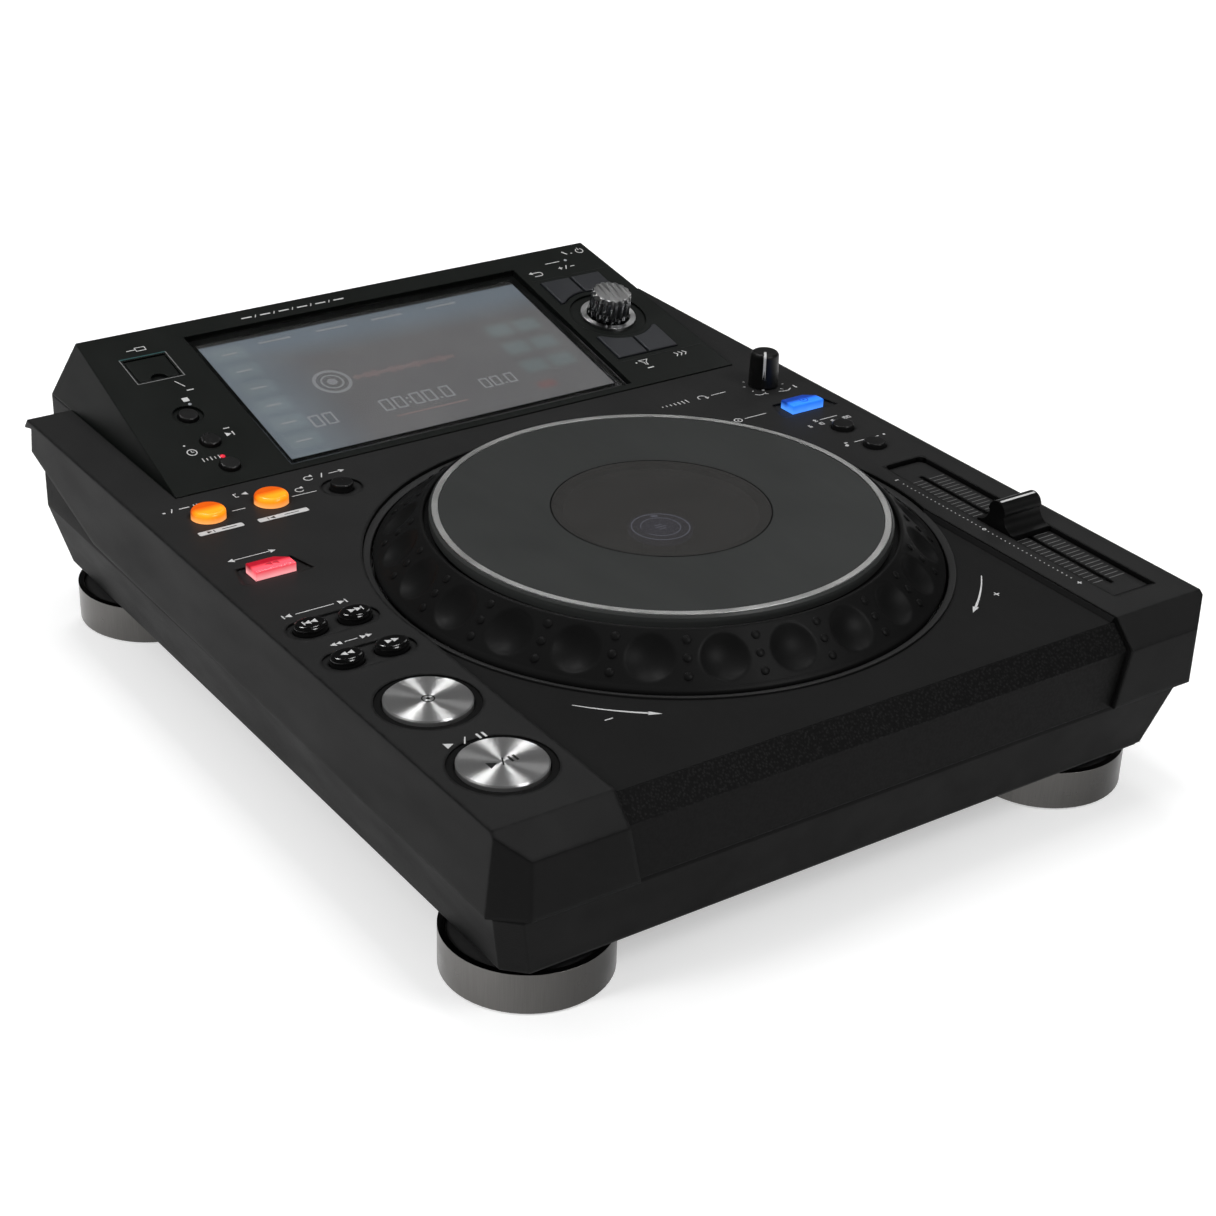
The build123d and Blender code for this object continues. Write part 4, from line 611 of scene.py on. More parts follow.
def screen_glow(name):
    """A hazy lit display: a cool band and tabs at its far and left edges, six soft blocks at its right."""
    blur = 3.0
    paint = Paint(name, Base_Color=grey(0.02), Roughness=0.35, Specular_IOR_Level=0.2, Emission_Strength=1.0)
    spot = paint.split(paint.place())
    across = spot["X"]
    middle_y = display_plane.translation.y / mm
    up = paint.sums("DIVIDE", paint.sums("SUBTRACT", spot["Y"], middle_y), slope_along.y)

    def within(value, centre, half, pitch=None):
        """High where the value is near the centre, or near any of a row of centres."""
        offset = paint.sums("SUBTRACT", value, centre)
        if pitch is not None:
            offset = paint.sums("WRAP", offset, pitch / 2, -pitch / 2)
        return paint.spread(paint.sums("ABSOLUTE", offset), half - blur / 2, half + blur / 2, 1.0, 0.0)

    def area(x, half_x, y, half_y, pitch_x=None, pitch_y=None):
        return paint.sums("MULTIPLY", within(across, x, half_x, pitch_x), within(up, y, half_y, pitch_y))

    cool = paint.sums("MAXIMUM", paint.spread(across, -66, -36, 1.0, 0.0), paint.spread(up, 18, 33))
    tabs = area(tab_x, 7.5, tab_first, 4.6, pitch_y=tab_pitch)
    blocks = paint.sums("MULTIPLY", area(58.5, 14.0, -4.5, 21.5), area(51.5, 5.8, 10.0, 4.2, 14.0, 14.5))
    pill = area(49.0, 4.2, -33.2, 2.2)
    border = paint.spread(up, 40.4, 41.2)
    body = paint.blend(cool, (0.124, 0.124, 0.126, 1), (0.137, 0.166, 0.194, 1))
    body = paint.blend(tabs, body, (0.168, 0.204, 0.222, 1))
    body = paint.blend(blocks, body, (0.145, 0.17, 0.174, 1))
    body = paint.blend(pill, body, (0.185, 0.108, 0.105, 1))
    body = paint.blend(border, body, grey(0.006))
    wander = paint.vary(paint.noise(30, 3), 0.92, 1.08)
    paint.set("Emission Color", paint.blend(1.0, body, wander, "MULTIPLY"))
    paint.bump(paint.noise(0.2, 1), 0.002)
    return paint.done()


def round_glow(name):
    """The small round display: a dim violet glow that fades to its rim."""
    middle = node_middle("jog_display")
    radius = node_box("jog_display")[1].x - middle.x
    paint = Paint(name, Base_Color=grey(0.01), Roughness=0.3, Emission_Strength=1.0)
    away = paint.vector("DISTANCE", paint.place(), middle)["Value"]
    fade = paint.spread(away, radius * 0.35, radius)
    glow = paint.sums("ADD", fade, paint.vary(paint.noise(3, 3), -0.1, 0.1))
    paint.set("Emission Color", paint.blend(glow, (0.1, 0.1, 0.2, 1), (0.035, 0.033, 0.07, 1)))
    return paint.done()


# The deck's edges are painted darker than its faces: painted shade of their roundings.
deck_plastic = plastic("deck_plastic", grey(0.0044), 0.43, specular=0.055, edge=2.2, edge_wear_and_shade=0.5,
                       painted_top_light=grey(0.02))
# Upward faces of the deck above, and of the panel and lip, are painted paler: painted top light.
panel_plastic = plastic("panel_plastic", grey(0.006), 0.46, specular=0.06, edge=0.5, painted_top_light=grey(0.0098))
# A paler copy of the panel plastic: painted light on the chamfered lip.
lip_painted_light = plastic("lip_painted_light", grey(0.009), 0.42, specular=0.2, edge=0.3, painted_top_light=grey(0.022))
pad_grey = plastic("pad_grey", (0.016, 0.017, 0.02, 1), 0.36, grain=0.4, depth=0.012, edge=0.3)
rim_rubber = plastic("rim_rubber", grey(0.0062), 0.46, depth=0.02, specular=0.09)
well_black = plastic("well_black", grey(0.0035), 0.5, depth=0.02, specular=0.08, edge=0.5)
zinc = metal("zinc", grey(0.45), 0.35, stretch=(6, 1, 1))
selector_metal = turned_metal("selector_metal", grey(0.42), 0.36, "selector_knob", anisotropic=0.4)
dark_chrome = metal("dark_chrome", (0.2, 0.204, 0.21, 1), 0.24, 0.5, 0.002)
polished = turned_metal("polished", grey(0.62), 0.32, "selector_knob", anisotropic=0.85)
white_ink = ink("white_ink", grey(0.52))
grey_ink = ink("grey_ink", grey(0.15))
dark_ink = ink("dark_ink", grey(0.004))
teal_ink = ink("teal_ink", (0.012, 0.06, 0.062, 1))
deep_red_ink = ink("deep_red_ink", (0.42, 0.02, 0.035, 1), glow=0.3)
deep_blue_ink = ink("deep_blue_ink", (0.012, 0.07, 0.5, 1), glow=0.3)
pale_lamp = ink("pale_lamp", (0.3, 0.32, 0.34, 1), 0.2)
red_lamp = ink("red_lamp", (0.6, 0.02, 0.04, 1), 0.2, 0.5)
screen_pale = ink("screen_pale", (0.146, 0.152, 0.156, 1), 0.4, 1.0)
screen_red = ink("screen_red", (0.136, 0.1, 0.1, 1), 0.4, 1.0)
round_lines = ink("round_lines", (0.62, 0.64, 0.85, 1), 0.4, 0.9)

slot_paints = {
    "deck": deck_plastic,
    "tub": plastic("tub_plastic", grey(0.004), 0.46, grain=0.7, depth=0.05, specular=0.035, edge=1.0),
    "sheet": metal("sheet_black", grey(0.03), 0.5, 0.6, 0.02),
    "grain": leather_grain("trim_hide", grey(0.0044), 0.46, 0.05),
    # Upward faces of the housing are painted paler: painted top light.
    "housing": plastic("housing_plastic", (0.003, 0.0036, 0.0032, 1), 0.33, grain=0.4, depth=0.012,
                       specular=0.06, edge=0.8, painted_top_light=(0.0102, 0.0113, 0.0105, 1)),
    "clear": glass("cover_glass", grey(0.95), 0.09),
    "display": screen_glow("display_glow"),
    "socket_black": plastic("socket_black", grey(0.008), 0.4),
    "socket_metal": zinc,
    "board": circuit_board("board_green"),
    "chassis": zinc,
    "rim": rim_rubber,
    "plate": plastic("plate_matte", (0.0275, 0.029, 0.0283, 1), 0.42, grain=0.35, depth=0.008,
                     specular=0.25, edge=0.3),
    "silver": metal("silver", (0.8, 0.8, 0.785, 1), 0.42, 0.4, 0.004),
    "knob_black": plastic("knob_rubber", grey(0.004), 0.42, grain=0.4, depth=0.015, specular=0.35, edge=0.5),
    "fader_black": plastic("fader_plastic", grey(0.003), 0.4, grain=0.4, depth=0.012, specular=0.2, edge=0.5),
    "gloss_black": plastic("gloss_black", grey(0.004), 0.12, grain=0.8, depth=0.004, specular=0.5, coat=0.5,
                           edge=0.3),
    "key_grey": plastic("key_black", grey(0.006), 0.3, depth=0.01, edge=0.3),
    "foot_rubber": rubber("foot_black", grey(0.03)),
    # The foot rings are painted darker on their right-front side: painted shade.
    "foot_metal": metal("gunmetal", (0.17, 0.165, 0.159, 1), 0.3, 0.3, 0.006, (1, 1, 40), (0.82, -0.57, 0)),
    "screw": metal("screw_zinc", grey(0.08), 0.35, 0.5),
}
node_paints = {
    "centre_panel": panel_plastic,
    "jog_window": smoked_window("window_glass"),
    "jog_display": round_glow("round_glow"),
    "transport_rings": well_black,
}
for key in ("play_button", "cue_button"):
    node_paints[key] = turned_metal(key.replace("button", "disc"), grey(0.62), 0.34, key, metallic=0.88)
for key in ("back_button", "tag_button", "filter_button", "shortcut_button"):
    node_paints[key] = pad_grey
# Colours of each lit key: skirt, cap, and the cap's far part, painted darker as shade.
amber = [(1.0, 0.42, 0.13, 1), (1.0, 0.27, 0.008, 1), (0.5, 0.07, 0.001, 1)]
red = [(0.95, 0.36, 0.38, 1), (0.85, 0.08, 0.11, 1), (0.3, 0.004, 0.014, 1)]
blue = [(0.07, 0.28, 0.95, 1), (0.02, 0.17, 0.8, 1), (0.005, 0.03, 0.22, 1)]
for key, skirt_ends, cap_starts, glow, colours in (
        ("direction", 0.55, 0.9, 0.75, red), ("jog_mode", 0.55, 0.9, 0.9, blue),
        ("loop_in", 0.5, 0.8, 0.75, amber), ("loop_out", 0.5, 0.8, 0.75, amber)):
    node_paints[key + "_button"] = lit_key(key, skirt_ends, cap_starts, glow, *colours)

node_slots = {part["node"]: part["material_slot"] for part in frame["record"]["subparts"]}
for node_name, node in nodes.items():
    finish = node_paints.get(node_name) or slot_paints[node_slots[node_name]]
    node.data.materials.clear()
    node.data.materials.append(finish)


# Jog wheel: a rim with soft thumb dimples and raised dots

dimple_count = 24
dimple_first = 7.5
dimple_radius = 8.4
dimple_ball = 14.0
dimple_lip = 0.5
slope_low = Vector((104.0, 81.5))
slope_top = Vector((88.6, 95.3))
rim_foot = [(84.2, 79.0), (101.0, 79.0), (105.2, 78.7), (105.5, 79.0), (105.5, 80.2), (105.2, 80.8)]
rim_crest = [(88.0, 95.5), (87.5, 95.35), (87.25, 95.0), (87.25, 92.6), (84.2, 92.6)]
jog_axis = level_plane(jog_x, jog_y, 0)
panel_plane = level_plane(jog_x, jog_y, panel_z)


def dimple_depth(offset):
    """How deep the dish is at a distance from its middle, with a softened lip."""
    margin = dimple_radius + dimple_lip - offset
    if margin <= 0:
        return 0.0
    wall = math.sqrt(dimple_ball ** 2 - dimple_radius ** 2)
    dish = math.sqrt(dimple_ball ** 2 - offset ** 2) - wall
    return (dish + math.hypot(dish, dimple_lip)) / 2 * min(1.0, margin)


def make_jog_rim():
    rows = 36
    columns = dimple_count * rows
    pitch = 360 / dimple_count
    slope = slope_top - slope_low
    inward = Vector((-slope.y, slope.x)).normalized()
    middle_radius = (slope_low.x + slope_top.x) / 2
    profiles = []
    for column in range(columns):
        turn = 360 * column / columns - dimple_first
        across = math.radians(turn - round(turn / pitch) * pitch) * middle_radius
        skin = []
        for row in range(rows + 1):
            share = row / rows
            offset = math.hypot(across, slope.length * (share - 0.5))
            skin.append(tuple(slope_low + slope * share + inward * dimple_depth(offset)))
        profiles.append(rim_foot + skin + rim_crest)
    shapes = Shapes(jog_axis)
    shapes.turn(profiles)
    rim = piece("jog_rim_skin", shapes, rim_rubber, "jog_wheel", 50)
    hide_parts("jog_rim")


def make_jog_web():
    """The hub, the web and the plate's seat inside the rim, seen dimly through the window."""
    hub = [(10.7, 65.6), (14.9, 65.6), (14.9, 72.1)]
    skirt = [(100.9, 72.1), (100.9, 79.1), (84.3, 79.1)]
    seat = [(84.3, 93.9), (79.1, 93.9), (79.1, 74.4)]
    lip = [(8.6, 74.4), (8.6, 71.2), (10.7, 71.2)]
    shapes = Shapes(jog_axis)
    shapes.tube(hub + skirt + seat + lip, 144)
    piece("jog_web", shapes, rim_rubber, "jog_wheel", 30)


def make_jog_dots():
    dot = [(0, -0.3), (1.55, -0.3), (1.55, 0.25), (1.25, 0.5), (0, 0.55)]
    dot_pitch = 6.5
    run = (slope_top - slope_low).normalized()
    shapes = Shapes(jog_axis)
    for turn in range(dimple_count):
        outward = Vector((*polar(1, dimple_first + 360 * (turn + 0.5) / dimple_count), 0))
        side = to_top.cross(outward)
        up = outward * run.y - to_top * run.x
        for step in (-1, 0, 1):
            spot = (slope_low + slope_top) / 2 + run * dot_pitch * step
            origin = Vector((jog_x, jog_y, spot.y)) + outward * spot.x
            shapes.plane = plane_of(origin, side, up.cross(side), up)
            shapes.lathe(dot)
    piece("jog_dots", shapes, rim_rubber, "jog_wheel", 40)


def make_jog_lip():
    """A low chamfered ring on the centre panel, round the opening for the wheel; its plastic is painted paler than
    the panel, as painted light on the chamfer.
    """
    inner = 106.7
    outer = 109.3
    crest = 0.9
    shapes = Shapes(panel_plane)
    shapes.tube([(inner, -0.1), (outer, -0.1), (outer, 0.65), (outer - 0.2, crest), (outer - 0.5, crest),
                 (inner, 0.05)], 192)
    piece("jog_lip", shapes, lip_painted_light, "case", 30)


def make_panel_coves():
    """Sloped edges that fill the corner between the centre panel and the deck on either side of it."""
    well_radius = 109.4
    strip_x = 1.5
    strip_half_width = 107.6
    run = 1.7
    foot = -0.1
    rise = deck_z - panel_z - 0.45
    front_y = node_box("centre_panel")[0].y
    shapes = Shapes(plane_of((0, 0, panel_z), to_right, to_top, -to_back))
    for side in (-1, 1):
        edge = strip_x + side * strip_half_width
        rear_y = jog_y - math.sqrt(well_radius ** 2 - (edge - jog_x) ** 2)
        shapes.prism([(edge, foot), (edge, rise), (edge - side * run, foot)], -rear_y, -front_y)
    piece("panel_coves", shapes, panel_plastic, "case")


def make_window_marks():
    """A dark joint round the window, and the lines on the round display under it."""
    low, high = node_box("jog_window")
    inner = (high.x - low.x) / 2 - 0.3
    outer = (high.x - low.x) / 2 + 0.25
    depth = 0.3
    crest = high.z - node_top("jog_plate") + 0.03
    joint = Shapes(top_plane("jog_plate"))
    joint.tube([(inner, crest - depth), (outer, crest - depth), (outer, crest), (inner, crest)], 96)
    piece("jog_window_joint", joint, well_black, "jog_wheel", 40)
    printed("jog_display_marks", top_plane("jog_display"), round_lines, "display", dict(
        arc=[(0, 0, 10.8, 0, 360, 48, 0.5), (0, 0, 7.4, 200, 520, 40, 0.4), (0, 0, 9.1, 62, 78, 6, 1.5)],
        box=[(0, 0, 4.6, 0.5), (0, 1.6, 3.0, 0.4), (0, -1.6, 3.0, 0.4)],
    ))


make_jog_rim()
make_jog_web()
make_jog_dots()
make_jog_lip()
make_panel_coves()
make_window_marks()


# Selector: a fluted knob with a faced metal cap, and the bright collar under it

flute_count = 16
flute_steps = 10
flute_sharpness = 1.6
selector_plane = slope_plane(101.7, 53.3)


def fluted(shapes, rows):
    """Stacks scalloped rings of (radius, flute depth, height) into a closed solid."""
    steps = flute_count * flute_steps
    for radius, depth, height in rows:
        for i in range(steps):
            dip = (0.5 - 0.5 * math.cos(2 * math.pi * i / flute_steps)) ** flute_sharpness * depth
            shapes.put(*polar(radius - dip, 360 * i / steps), height)
    last = (len(rows) - 1) * steps
    for row in range(0, last, steps):
        shapes.join_rows(row, row + steps, steps)
    shapes.faces.append(list(reversed(range(steps))))
    shapes.faces.append(list(range(last, last + steps)))


def make_selector():
    grip = Shapes(selector_plane)
    fluted(grip, [(8.9, 0.5, 0.0), (9.15, 0.7, 0.3), (8.9, 0.85, 9.3), (8.75, 0.85, 9.5)])
    knob = piece("selector_grip", grip, dark_chrome, "selector_dial", 35)
    cap = Shapes(selector_plane)
    fluted(cap, [(8.75, 0.85, 9.5), (8.78, 0.85, 9.6), (8.7, 0.85, 11.2), (8.5, 0.8, 11.6), (8.1, 0.6, 11.8)])
    piece("selector_cap", cap, selector_metal, "selector_dial", 35)
    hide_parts("selector_knob")
    collar = Shapes(selector_plane)
    collar.tube([(9.75, -1.0), (12.3, -1.0), (12.3, 0.45), (12.25, 0.5), (9.75, 0.5)])
    piece("selector_collar", collar, polished, "case", 35)


make_selector()


# Pointer on the speed knob, and the line on the fader cap

def make_speed_pointer():
    """A stripe up the knob's side and over its rounded shoulder."""
    low, high = node_box("speed_knob")
    middle = node_middle("speed_knob")
    base_radius = (high.x - low.x) / 2
    top_radius = 6.0
    crown = 1.8
    width = 1.1
    lift = 0.08
    margin = 1.6
    towards = Vector((-0.6, -0.8, 0))
    shoulder = ring_points(top_radius - crown, high.z - crown, crown + lift, 0, 90, 6)[1:]
    outer = [(base_radius + lift - 0.03, low.z + margin), (top_radius + lift, high.z - crown)]
    outer += shoulder + [(margin, high.z + lift)]
    inner = [(radius - 0.4, height - 0.25) for radius, height in reversed(outer)]
    shapes = Shapes(plane_of((middle.x, middle.y, 0), towards, to_top, towards.cross(to_top)))
    shapes.prism(outer + inner, -width / 2, width / 2)
    piece("speed_pointer", shapes, white_ink, "speed_dial")


def make_fader_line():
    """A thin line that lies on the front of the cap's round crest."""
    low, high = node_box("tempo_cap")
    crest_radius = 4.4
    starts, ends = 5, 17
    half_length = (high.x - low.x) / 2 - 0.7
    origin = (fader_middle.x, fader_middle.y, high.z - crest_radius)
    shapes = Shapes(plane_of(origin, to_top, -to_back, to_right))
    outer = ring_points(0, 0, crest_radius + print_lift, starts, ends, 6)
    inner = ring_points(0, 0, crest_radius - 0.15, ends, starts, 6)
    shapes.prism(outer + inner, -half_length, half_length)
    piece("tempo_cap_line", shapes, white_ink, "tempo_slider")


make_speed_pointer()
make_fader_line()


# Prints on the deck

scale_plane = level_plane(fader_middle.x, fader_middle.y, scale_z)

# Middle, width and arrow's direction of the pale pills under the loop keys
loop_pills = [(-128.9, 41.7, 18.2, 0), (-103.5, 40.9, 20.8, 180)]
loop_rows = dict(
    pill=[(x, y, width, 3, 0.7) for x, y, width, _ in loop_pills],
    label=[((-118.5, 53.6), (-113.1, 53.4)), ((-93.4, 53.4), (-82.9, 53.2)), ((-138.6, 63.6), (-137.2, 66.4)),
           ((-110.6, 66.4), (-111.8, 66.4), (-111.8, 63.6), (-110.6, 63.6)), ((-75.4, 63.2), (-73.6, 66.6)),
           ((-71.4, 64.9), (-66.4, 64.9))],
    line=[(0.6, (-134.8, 65.1), (-130.6, 65.1))],
    dot=[(-141.2, 64.6, 0.6)],
    number=[("4", -128.6, 63.7, 2.5)],
    arc=[(-88.2, 57.2, 1.6, 40, 330, 16), (-80.4, 64.8, 1.7, 40, 330, 16)],
    arrow=[(-107.8, 65, 2.4, 1.3, 180), (-86.5, 58.6, 1.6, 1, 300), (-78.6, 66.2, 1.7, 1, 300),
           (-65.6, 64.9, 2.2, 1.3)],
)
transport_rows = dict(
    label=[((-136.6, 16.5), (-121.7, 16.5)), ((-136.6, -31.5), (-121.6, -31.5)),
           ((-131.6, -57.6), (-126.6, -57.6)), ((-131.6, -136.1), (-129.4, -132.5))],
    arrow=[(-137.6, 16.5, 2.4, 1.4, 180), (-120.7, 16.5, 2.4, 1.4), (-139.6, -31.5, 2.4, 1.3, 180),
           (-118.6, -31.5, 2.4, 1.3), (-136.1, -57.6, 2.1, 1.2, 180), (-133.9, -57.6, 2.1, 1.2, 180),
           (-124.3, -57.6, 2.1, 1.2), (-122.1, -57.6, 2.1, 1.2), (-136.2, -134.3, 3, 1.7)],
    box=[(-141.4, -31.5, 0.5, 2.6), (-116.8, -31.5, 0.5, 2.6), (-125.4, -134.3, 0.8, 3),
         (-123.3, -134.3, 0.8, 3)],
)


def speed_tick(share, near, far):
    """The ends of a tick beside the speed knob, at a share of the knob's sweep."""
    first_angle = 240
    sweep = 300
    middle = node_middle("speed_knob")
    spots = [polar(radius, first_angle - sweep * share) for radius in (near, far)]
    return [(middle.x + u, middle.y + v) for u, v in spots]


right_rows = dict(
    label=[((120.8, 43), (121.9, 41.6), (123.4, 41.3), (124.8, 41.8), (126.3, 40.7)),
           ((131.6, 40.7), (133.6, 39.8), (136.2, 39.6), (138.2, 41)), ((104.2, 51.7), (111.6, 51.7)),
           ((101.6, 24.8), (112.6, 24.8)), ((127.8, 7.9), (136.8, 7.9)), ((125.8, -17), (138.6, -17))],
    line=[(thin_stroke, *speed_tick(i / 2, 7.9, 9.4)) for i in range(3)]
    + [(thin_stroke, *speed_tick(i / 8, 8.1, 9)) for i in (1, 2, 3, 5, 6, 7)]
    + [(0.45, (121.6, -15.4), (123, -16.1))],
    box=[(79 + 2.1 * i, 51.7, 0.45, 0.8 + 0.4 * i) for i in range(7)]
    + [(141, 41.6, 0.6, 2.8), (125.4, 7.2, 1.7, label_stroke), (121.65, -16.8, 0.35, 3)],
    arc=[(99.4, 51.4, 2, -30, 210, 16), (98.2, 24.8, 1.7, 0, 360, 20)],
    arrow=[(101.2, 50.3, 1.7, 1, 250)],
    dot=[(98.2, 24.8, 0.5), (121, -18.2, 0.8), (141.4, -17, 0.6)],
    cross=[(125.4, 8.5, 1.7)],
    number=[(text, x, 3.6, 1.9, 0.3)
            for text, x in (("6", 119.6), ("10", 124.2), ("16", 130.4), ("100", 136.6))],
)
printed("deck_print", level_plane(0, 0, deck_z), white_ink, "deck", loop_rows, transport_rows, right_rows)
printed("pill_print", level_plane(0, 0, deck_z + print_lift), dark_ink, "deck", dict(
    arrow=[(x - 4.6, y, 1.9, 0.9, angle) for x, y, _, angle in loop_pills],
    box=[(x - 4.6 + polar(1.8, angle)[0], y, 0.35, 1.7) for x, y, _, angle in loop_pills],
    line=[(0.4, (x + 0.4, y), (x + 6.4, y)) for x, y, _, _ in loop_pills],
))


def fader_marks():
    """A comb on both sides of the fader's slot, and a column of dots with its signs on the deck."""
    half_travel = 50.0
    pitch = 2.5
    gap = 1.7
    comb = []
    for i in range(round(2 * half_travel / pitch) + 1):
        reach = 7.6 if i % 5 == 0 else 6.8
        comb += [(side * (gap + reach / 2), half_travel - i * pitch, reach, 0.26) for side in (-1, 1)]
    printed("tempo_comb", scale_plane, grey_ink, "deck", dict(box=comb))
    dots_each_way = 20
    dots_pitch = 2.34
    printed("tempo_dots", level_plane(116.7, fader_middle.y + 1.1, deck_z), white_ink, "deck", dict(
        dot=[(0, side * i * dots_pitch, 0.27, 8) for i in range(1, dots_each_way + 1) for side in (-1, 1)],
        arc=[(0, 0, 0.65, 0, 360, 16, 0.4)],
        box=[(0, 51, 1.7, 0.45)],
        cross=[(0, -51.2, 2, 0.45)],
    ))


def fader_corners():
    """Rounded far corners in the well of the fader."""
    half_width = 10.0
    rear = 64.8
    radius = 3.0
    shapes = Shapes(scale_plane)
    for side in (-1, 1):
        arc = ring_points(side * (half_width - radius), rear - radius, radius, 90, 90 - side * 90, 8)
        shapes.prism([(side * half_width, rear)] + arc, 0, deck_z - scale_z)
    piece("fader_corners", shapes, deck_plastic, "case", 30)


fader_marks()
fader_corners()

# Tapered arrows round the wheel, with the signs of their directions
arrow_radius = 118.4
sign_radius = 124.2
printed("direction_arcs", panel_plane, white_ink, "grain", dict(
    arc=[(0, 0, arrow_radius, start, end, 24, 0.35, 0.9) for start, end in ((-40.6, -53), (-139.4, -127))],
    arrow=[(*polar(arrow_radius, tip), 4.6, 1.1, turn) for tip, turn in ((-54, -144), (-126, -36))],
    cross=[(*polar(sign_radius, -47), 2.6, 0.45)],
    box=[(*polar(sign_radius, -133), 3.2, 0.5)],
))


# Symbols on the keys

def symbol(key, paint, slot, **rows):
    printed(key + "_symbol", top_plane(key + "_button"), paint, slot, rows, body=key + "_key")


for key, arrows, bars, angle in (
        ("track_back", (-1.3, 1.1), (-2.7,), 180), ("track_forward", (-1.1, 1.3), (2.7,), 0),
        ("search_back", (-1.3, 1.2), (), 180), ("search_forward", (-1.2, 1.3), (), 0)):
    symbol(key, white_ink, "gloss_black", arrow=[(x, 0, 2.4, 1.3, angle) for x in arrows],
           box=[(x, 0, 0.45, 2.6) for x in bars])
symbol("play", dark_ink, "disc_metal", arrow=[(-3.6, 0, 3.4, 1.9)],
       line=[(symbol_stroke, (-0.9, -2), (0.9, 2))], box=[(x, 0, 0.9, 3.4) for x in (2.9, 4.7)])
symbol("cue", dark_ink, "disc_metal", arc=[(0, 0, 2.1, 0, 360, 24, symbol_stroke)], dot=[(0, 0, 0.7)])
symbol("direction", deep_red_ink, "red", arrow=[(x, -0.6, 2.6, 1.4, 180) for x in (-1.4, 1.3)])
symbol("jog_mode", deep_blue_ink, "blue", arc=[(0, -0.6, 1.8, 0, 360, 20, symbol_stroke)],
       dot=[(0, -0.6, 0.6)])


# Prints, seams and lamps on the screen housing, and prints on the rear panel

dash_pitch = 8.8
printed("housing_print", slope_plane(0, 0), white_ink, "housing", dict(
    label=[((-107.4, 98), (-103.4, 98)), ((97.6, 99.4), (105.2, 99.4)), ((90.6, 91.6), (87.4, 91.6)),
           ((90.6, 94.4), (87.6, 94.4)), ((104.8, 92.8), (106.4, 95.6))]
    + [((x, 14), (x + 1.3, 15.5), (x, 17)) for x in (112.2, 114.4, 116.6)],
    line=[(thin_stroke, (-103.4, 99.2), (-103.4, 96.8), (-99.2, 96.8), (-99.2, 99.2), (-103.4, 99.2)),
          (thin_stroke, (-113.4, 25.7), (-113.4, 24.4), (-112.4, 24.4)),
          (thin_stroke, (93.6, 16.9), (98, 16.9), (96.3, 15), (96.3, 13.2), (95.3, 13.7), (95.3, 15),
           (93.6, 16.9)),
          (0.4, (-98.4, 71.6), (-96, 66.8)), (0.55, (-96.6, 64), (-93.6, 64)),
          (0.55, (-95, 34.6), (-92.4, 34.6)), (0.55, (94.4, 10.8), (97.6, 10.8)),
          (0.7, (110.6, 106.2), (112.2, 103.6))]
    + [(0.7, (-52 + dash_pitch * i, 104.6), (-47.2 + dash_pitch * i, 104.6)) for i in range(6)]
    + [(thin_stroke, (-45.9 + dash_pitch * i, 103.7), (-44.9 + dash_pitch * i, 105.5)) for i in range(5)],
    box=[(-100, 58.2, 2.6, 2.6), (-92.6, 30.6, 0.5, 2.6), (119.4, 106.2, label_stroke, 1.9),
         (109, 94.2, 2.2, label_stroke)]
    + [(-111.6 + 1.7 * i, 18.2, thin_stroke, 2.4 if i % 2 == 0 else 1.5) for i in range(6)],
    dot=[(-114.4, 29.4, 0.45), (114.6, 103.8, 0.4), (91.8, 15.8, 0.45)],
    arc=[(-113.4, 24.4, 1.9, 0, 360, 20), (119.4, 104.6, 1.75, 120, 420), (90.6, 93, 1.4, -90, 90, 12)],
    arrow=[(-94.6, 30.6, 2.4, 1.3), (86.6, 94.4, 1.8, 1.1, 180)],
    cross=[(102.6, 94.2, 2.2)],
))
printed("housing_seams", slope_plane(0, 0), dark_ink, "housing", dict(
    line=[(0.28, (83.6, 18.8), (127.6, 18.8)), (0.28, (83.6, 88.2), (122.6, 88.2))]))

# Plain marks over the sockets, and a framed block of lines
rear_plane = plane_of((0, node_box("rear_panel")[1].y, 0), -to_right, to_top, to_back)
printed("rear_print", rear_plane, grey_ink, "sheet", dict(
    number=[("1", 82.8, 45.4, 2.6, 0.45), ("2", 67.2, 45.4, 2.6, 0.45)],
    line=[(0.45, (62, 51.4), (90, 51.4)), (0.4, (6, 44.9), (6, 47.6)),
          (thin_stroke, (-40, 55), (20, 55), (20, 68), (-40, 68), (-40, 55))]
    + [(0.4, (x, 47.8), (x, 49), (36, 49), (36, 50.2)) for x in (32.4, 39.6)]
    + [(0.5, (-36, y), (-36 + length, y)) for y, length in ((64.8, 52), (61.6, 40), (58.4, 46))],
    box=[(x, y, 3, 2.4) for x, y in ((36, 51.4), (32.4, 46.6), (39.6, 46.6))]
    + [(6, 44.6, 3.4, 0.6), (-106, 48.3, 0.5, 2)],
    arrow=[(76, 54.6, 2.6, 1.6, 90)],
    dot=[(6, 48.2, 0.8)],
    arc=[(-73.6, 59, 1.6, 0, 180, 12, symbol_stroke), (-70.4, 59, 1.6, 180, 360, 12, symbol_stroke),
         (-106, 46.6, 1.9, 120, 420, 24, symbol_stroke)],
))

# A thin frame round the flap over the port
flap_along = 83.6
flap_plane = slope_plane(node_middle("usb_door").x, flap_along)
flap_corners = [(-10.2, -9.2), (10.2, -9.2), (10.2, 9.2), (-10.2, 9.2)]
printed("flap_frame", flap_plane, grey_ink, "housing", dict(
    line=[(0.4, *flap_corners[:3]), (0.4, flap_corners[3], flap_corners[0])]))
printed("flap_frame_far", flap_plane, teal_ink, "housing", dict(line=[(0.6, *flap_corners[2:])]))

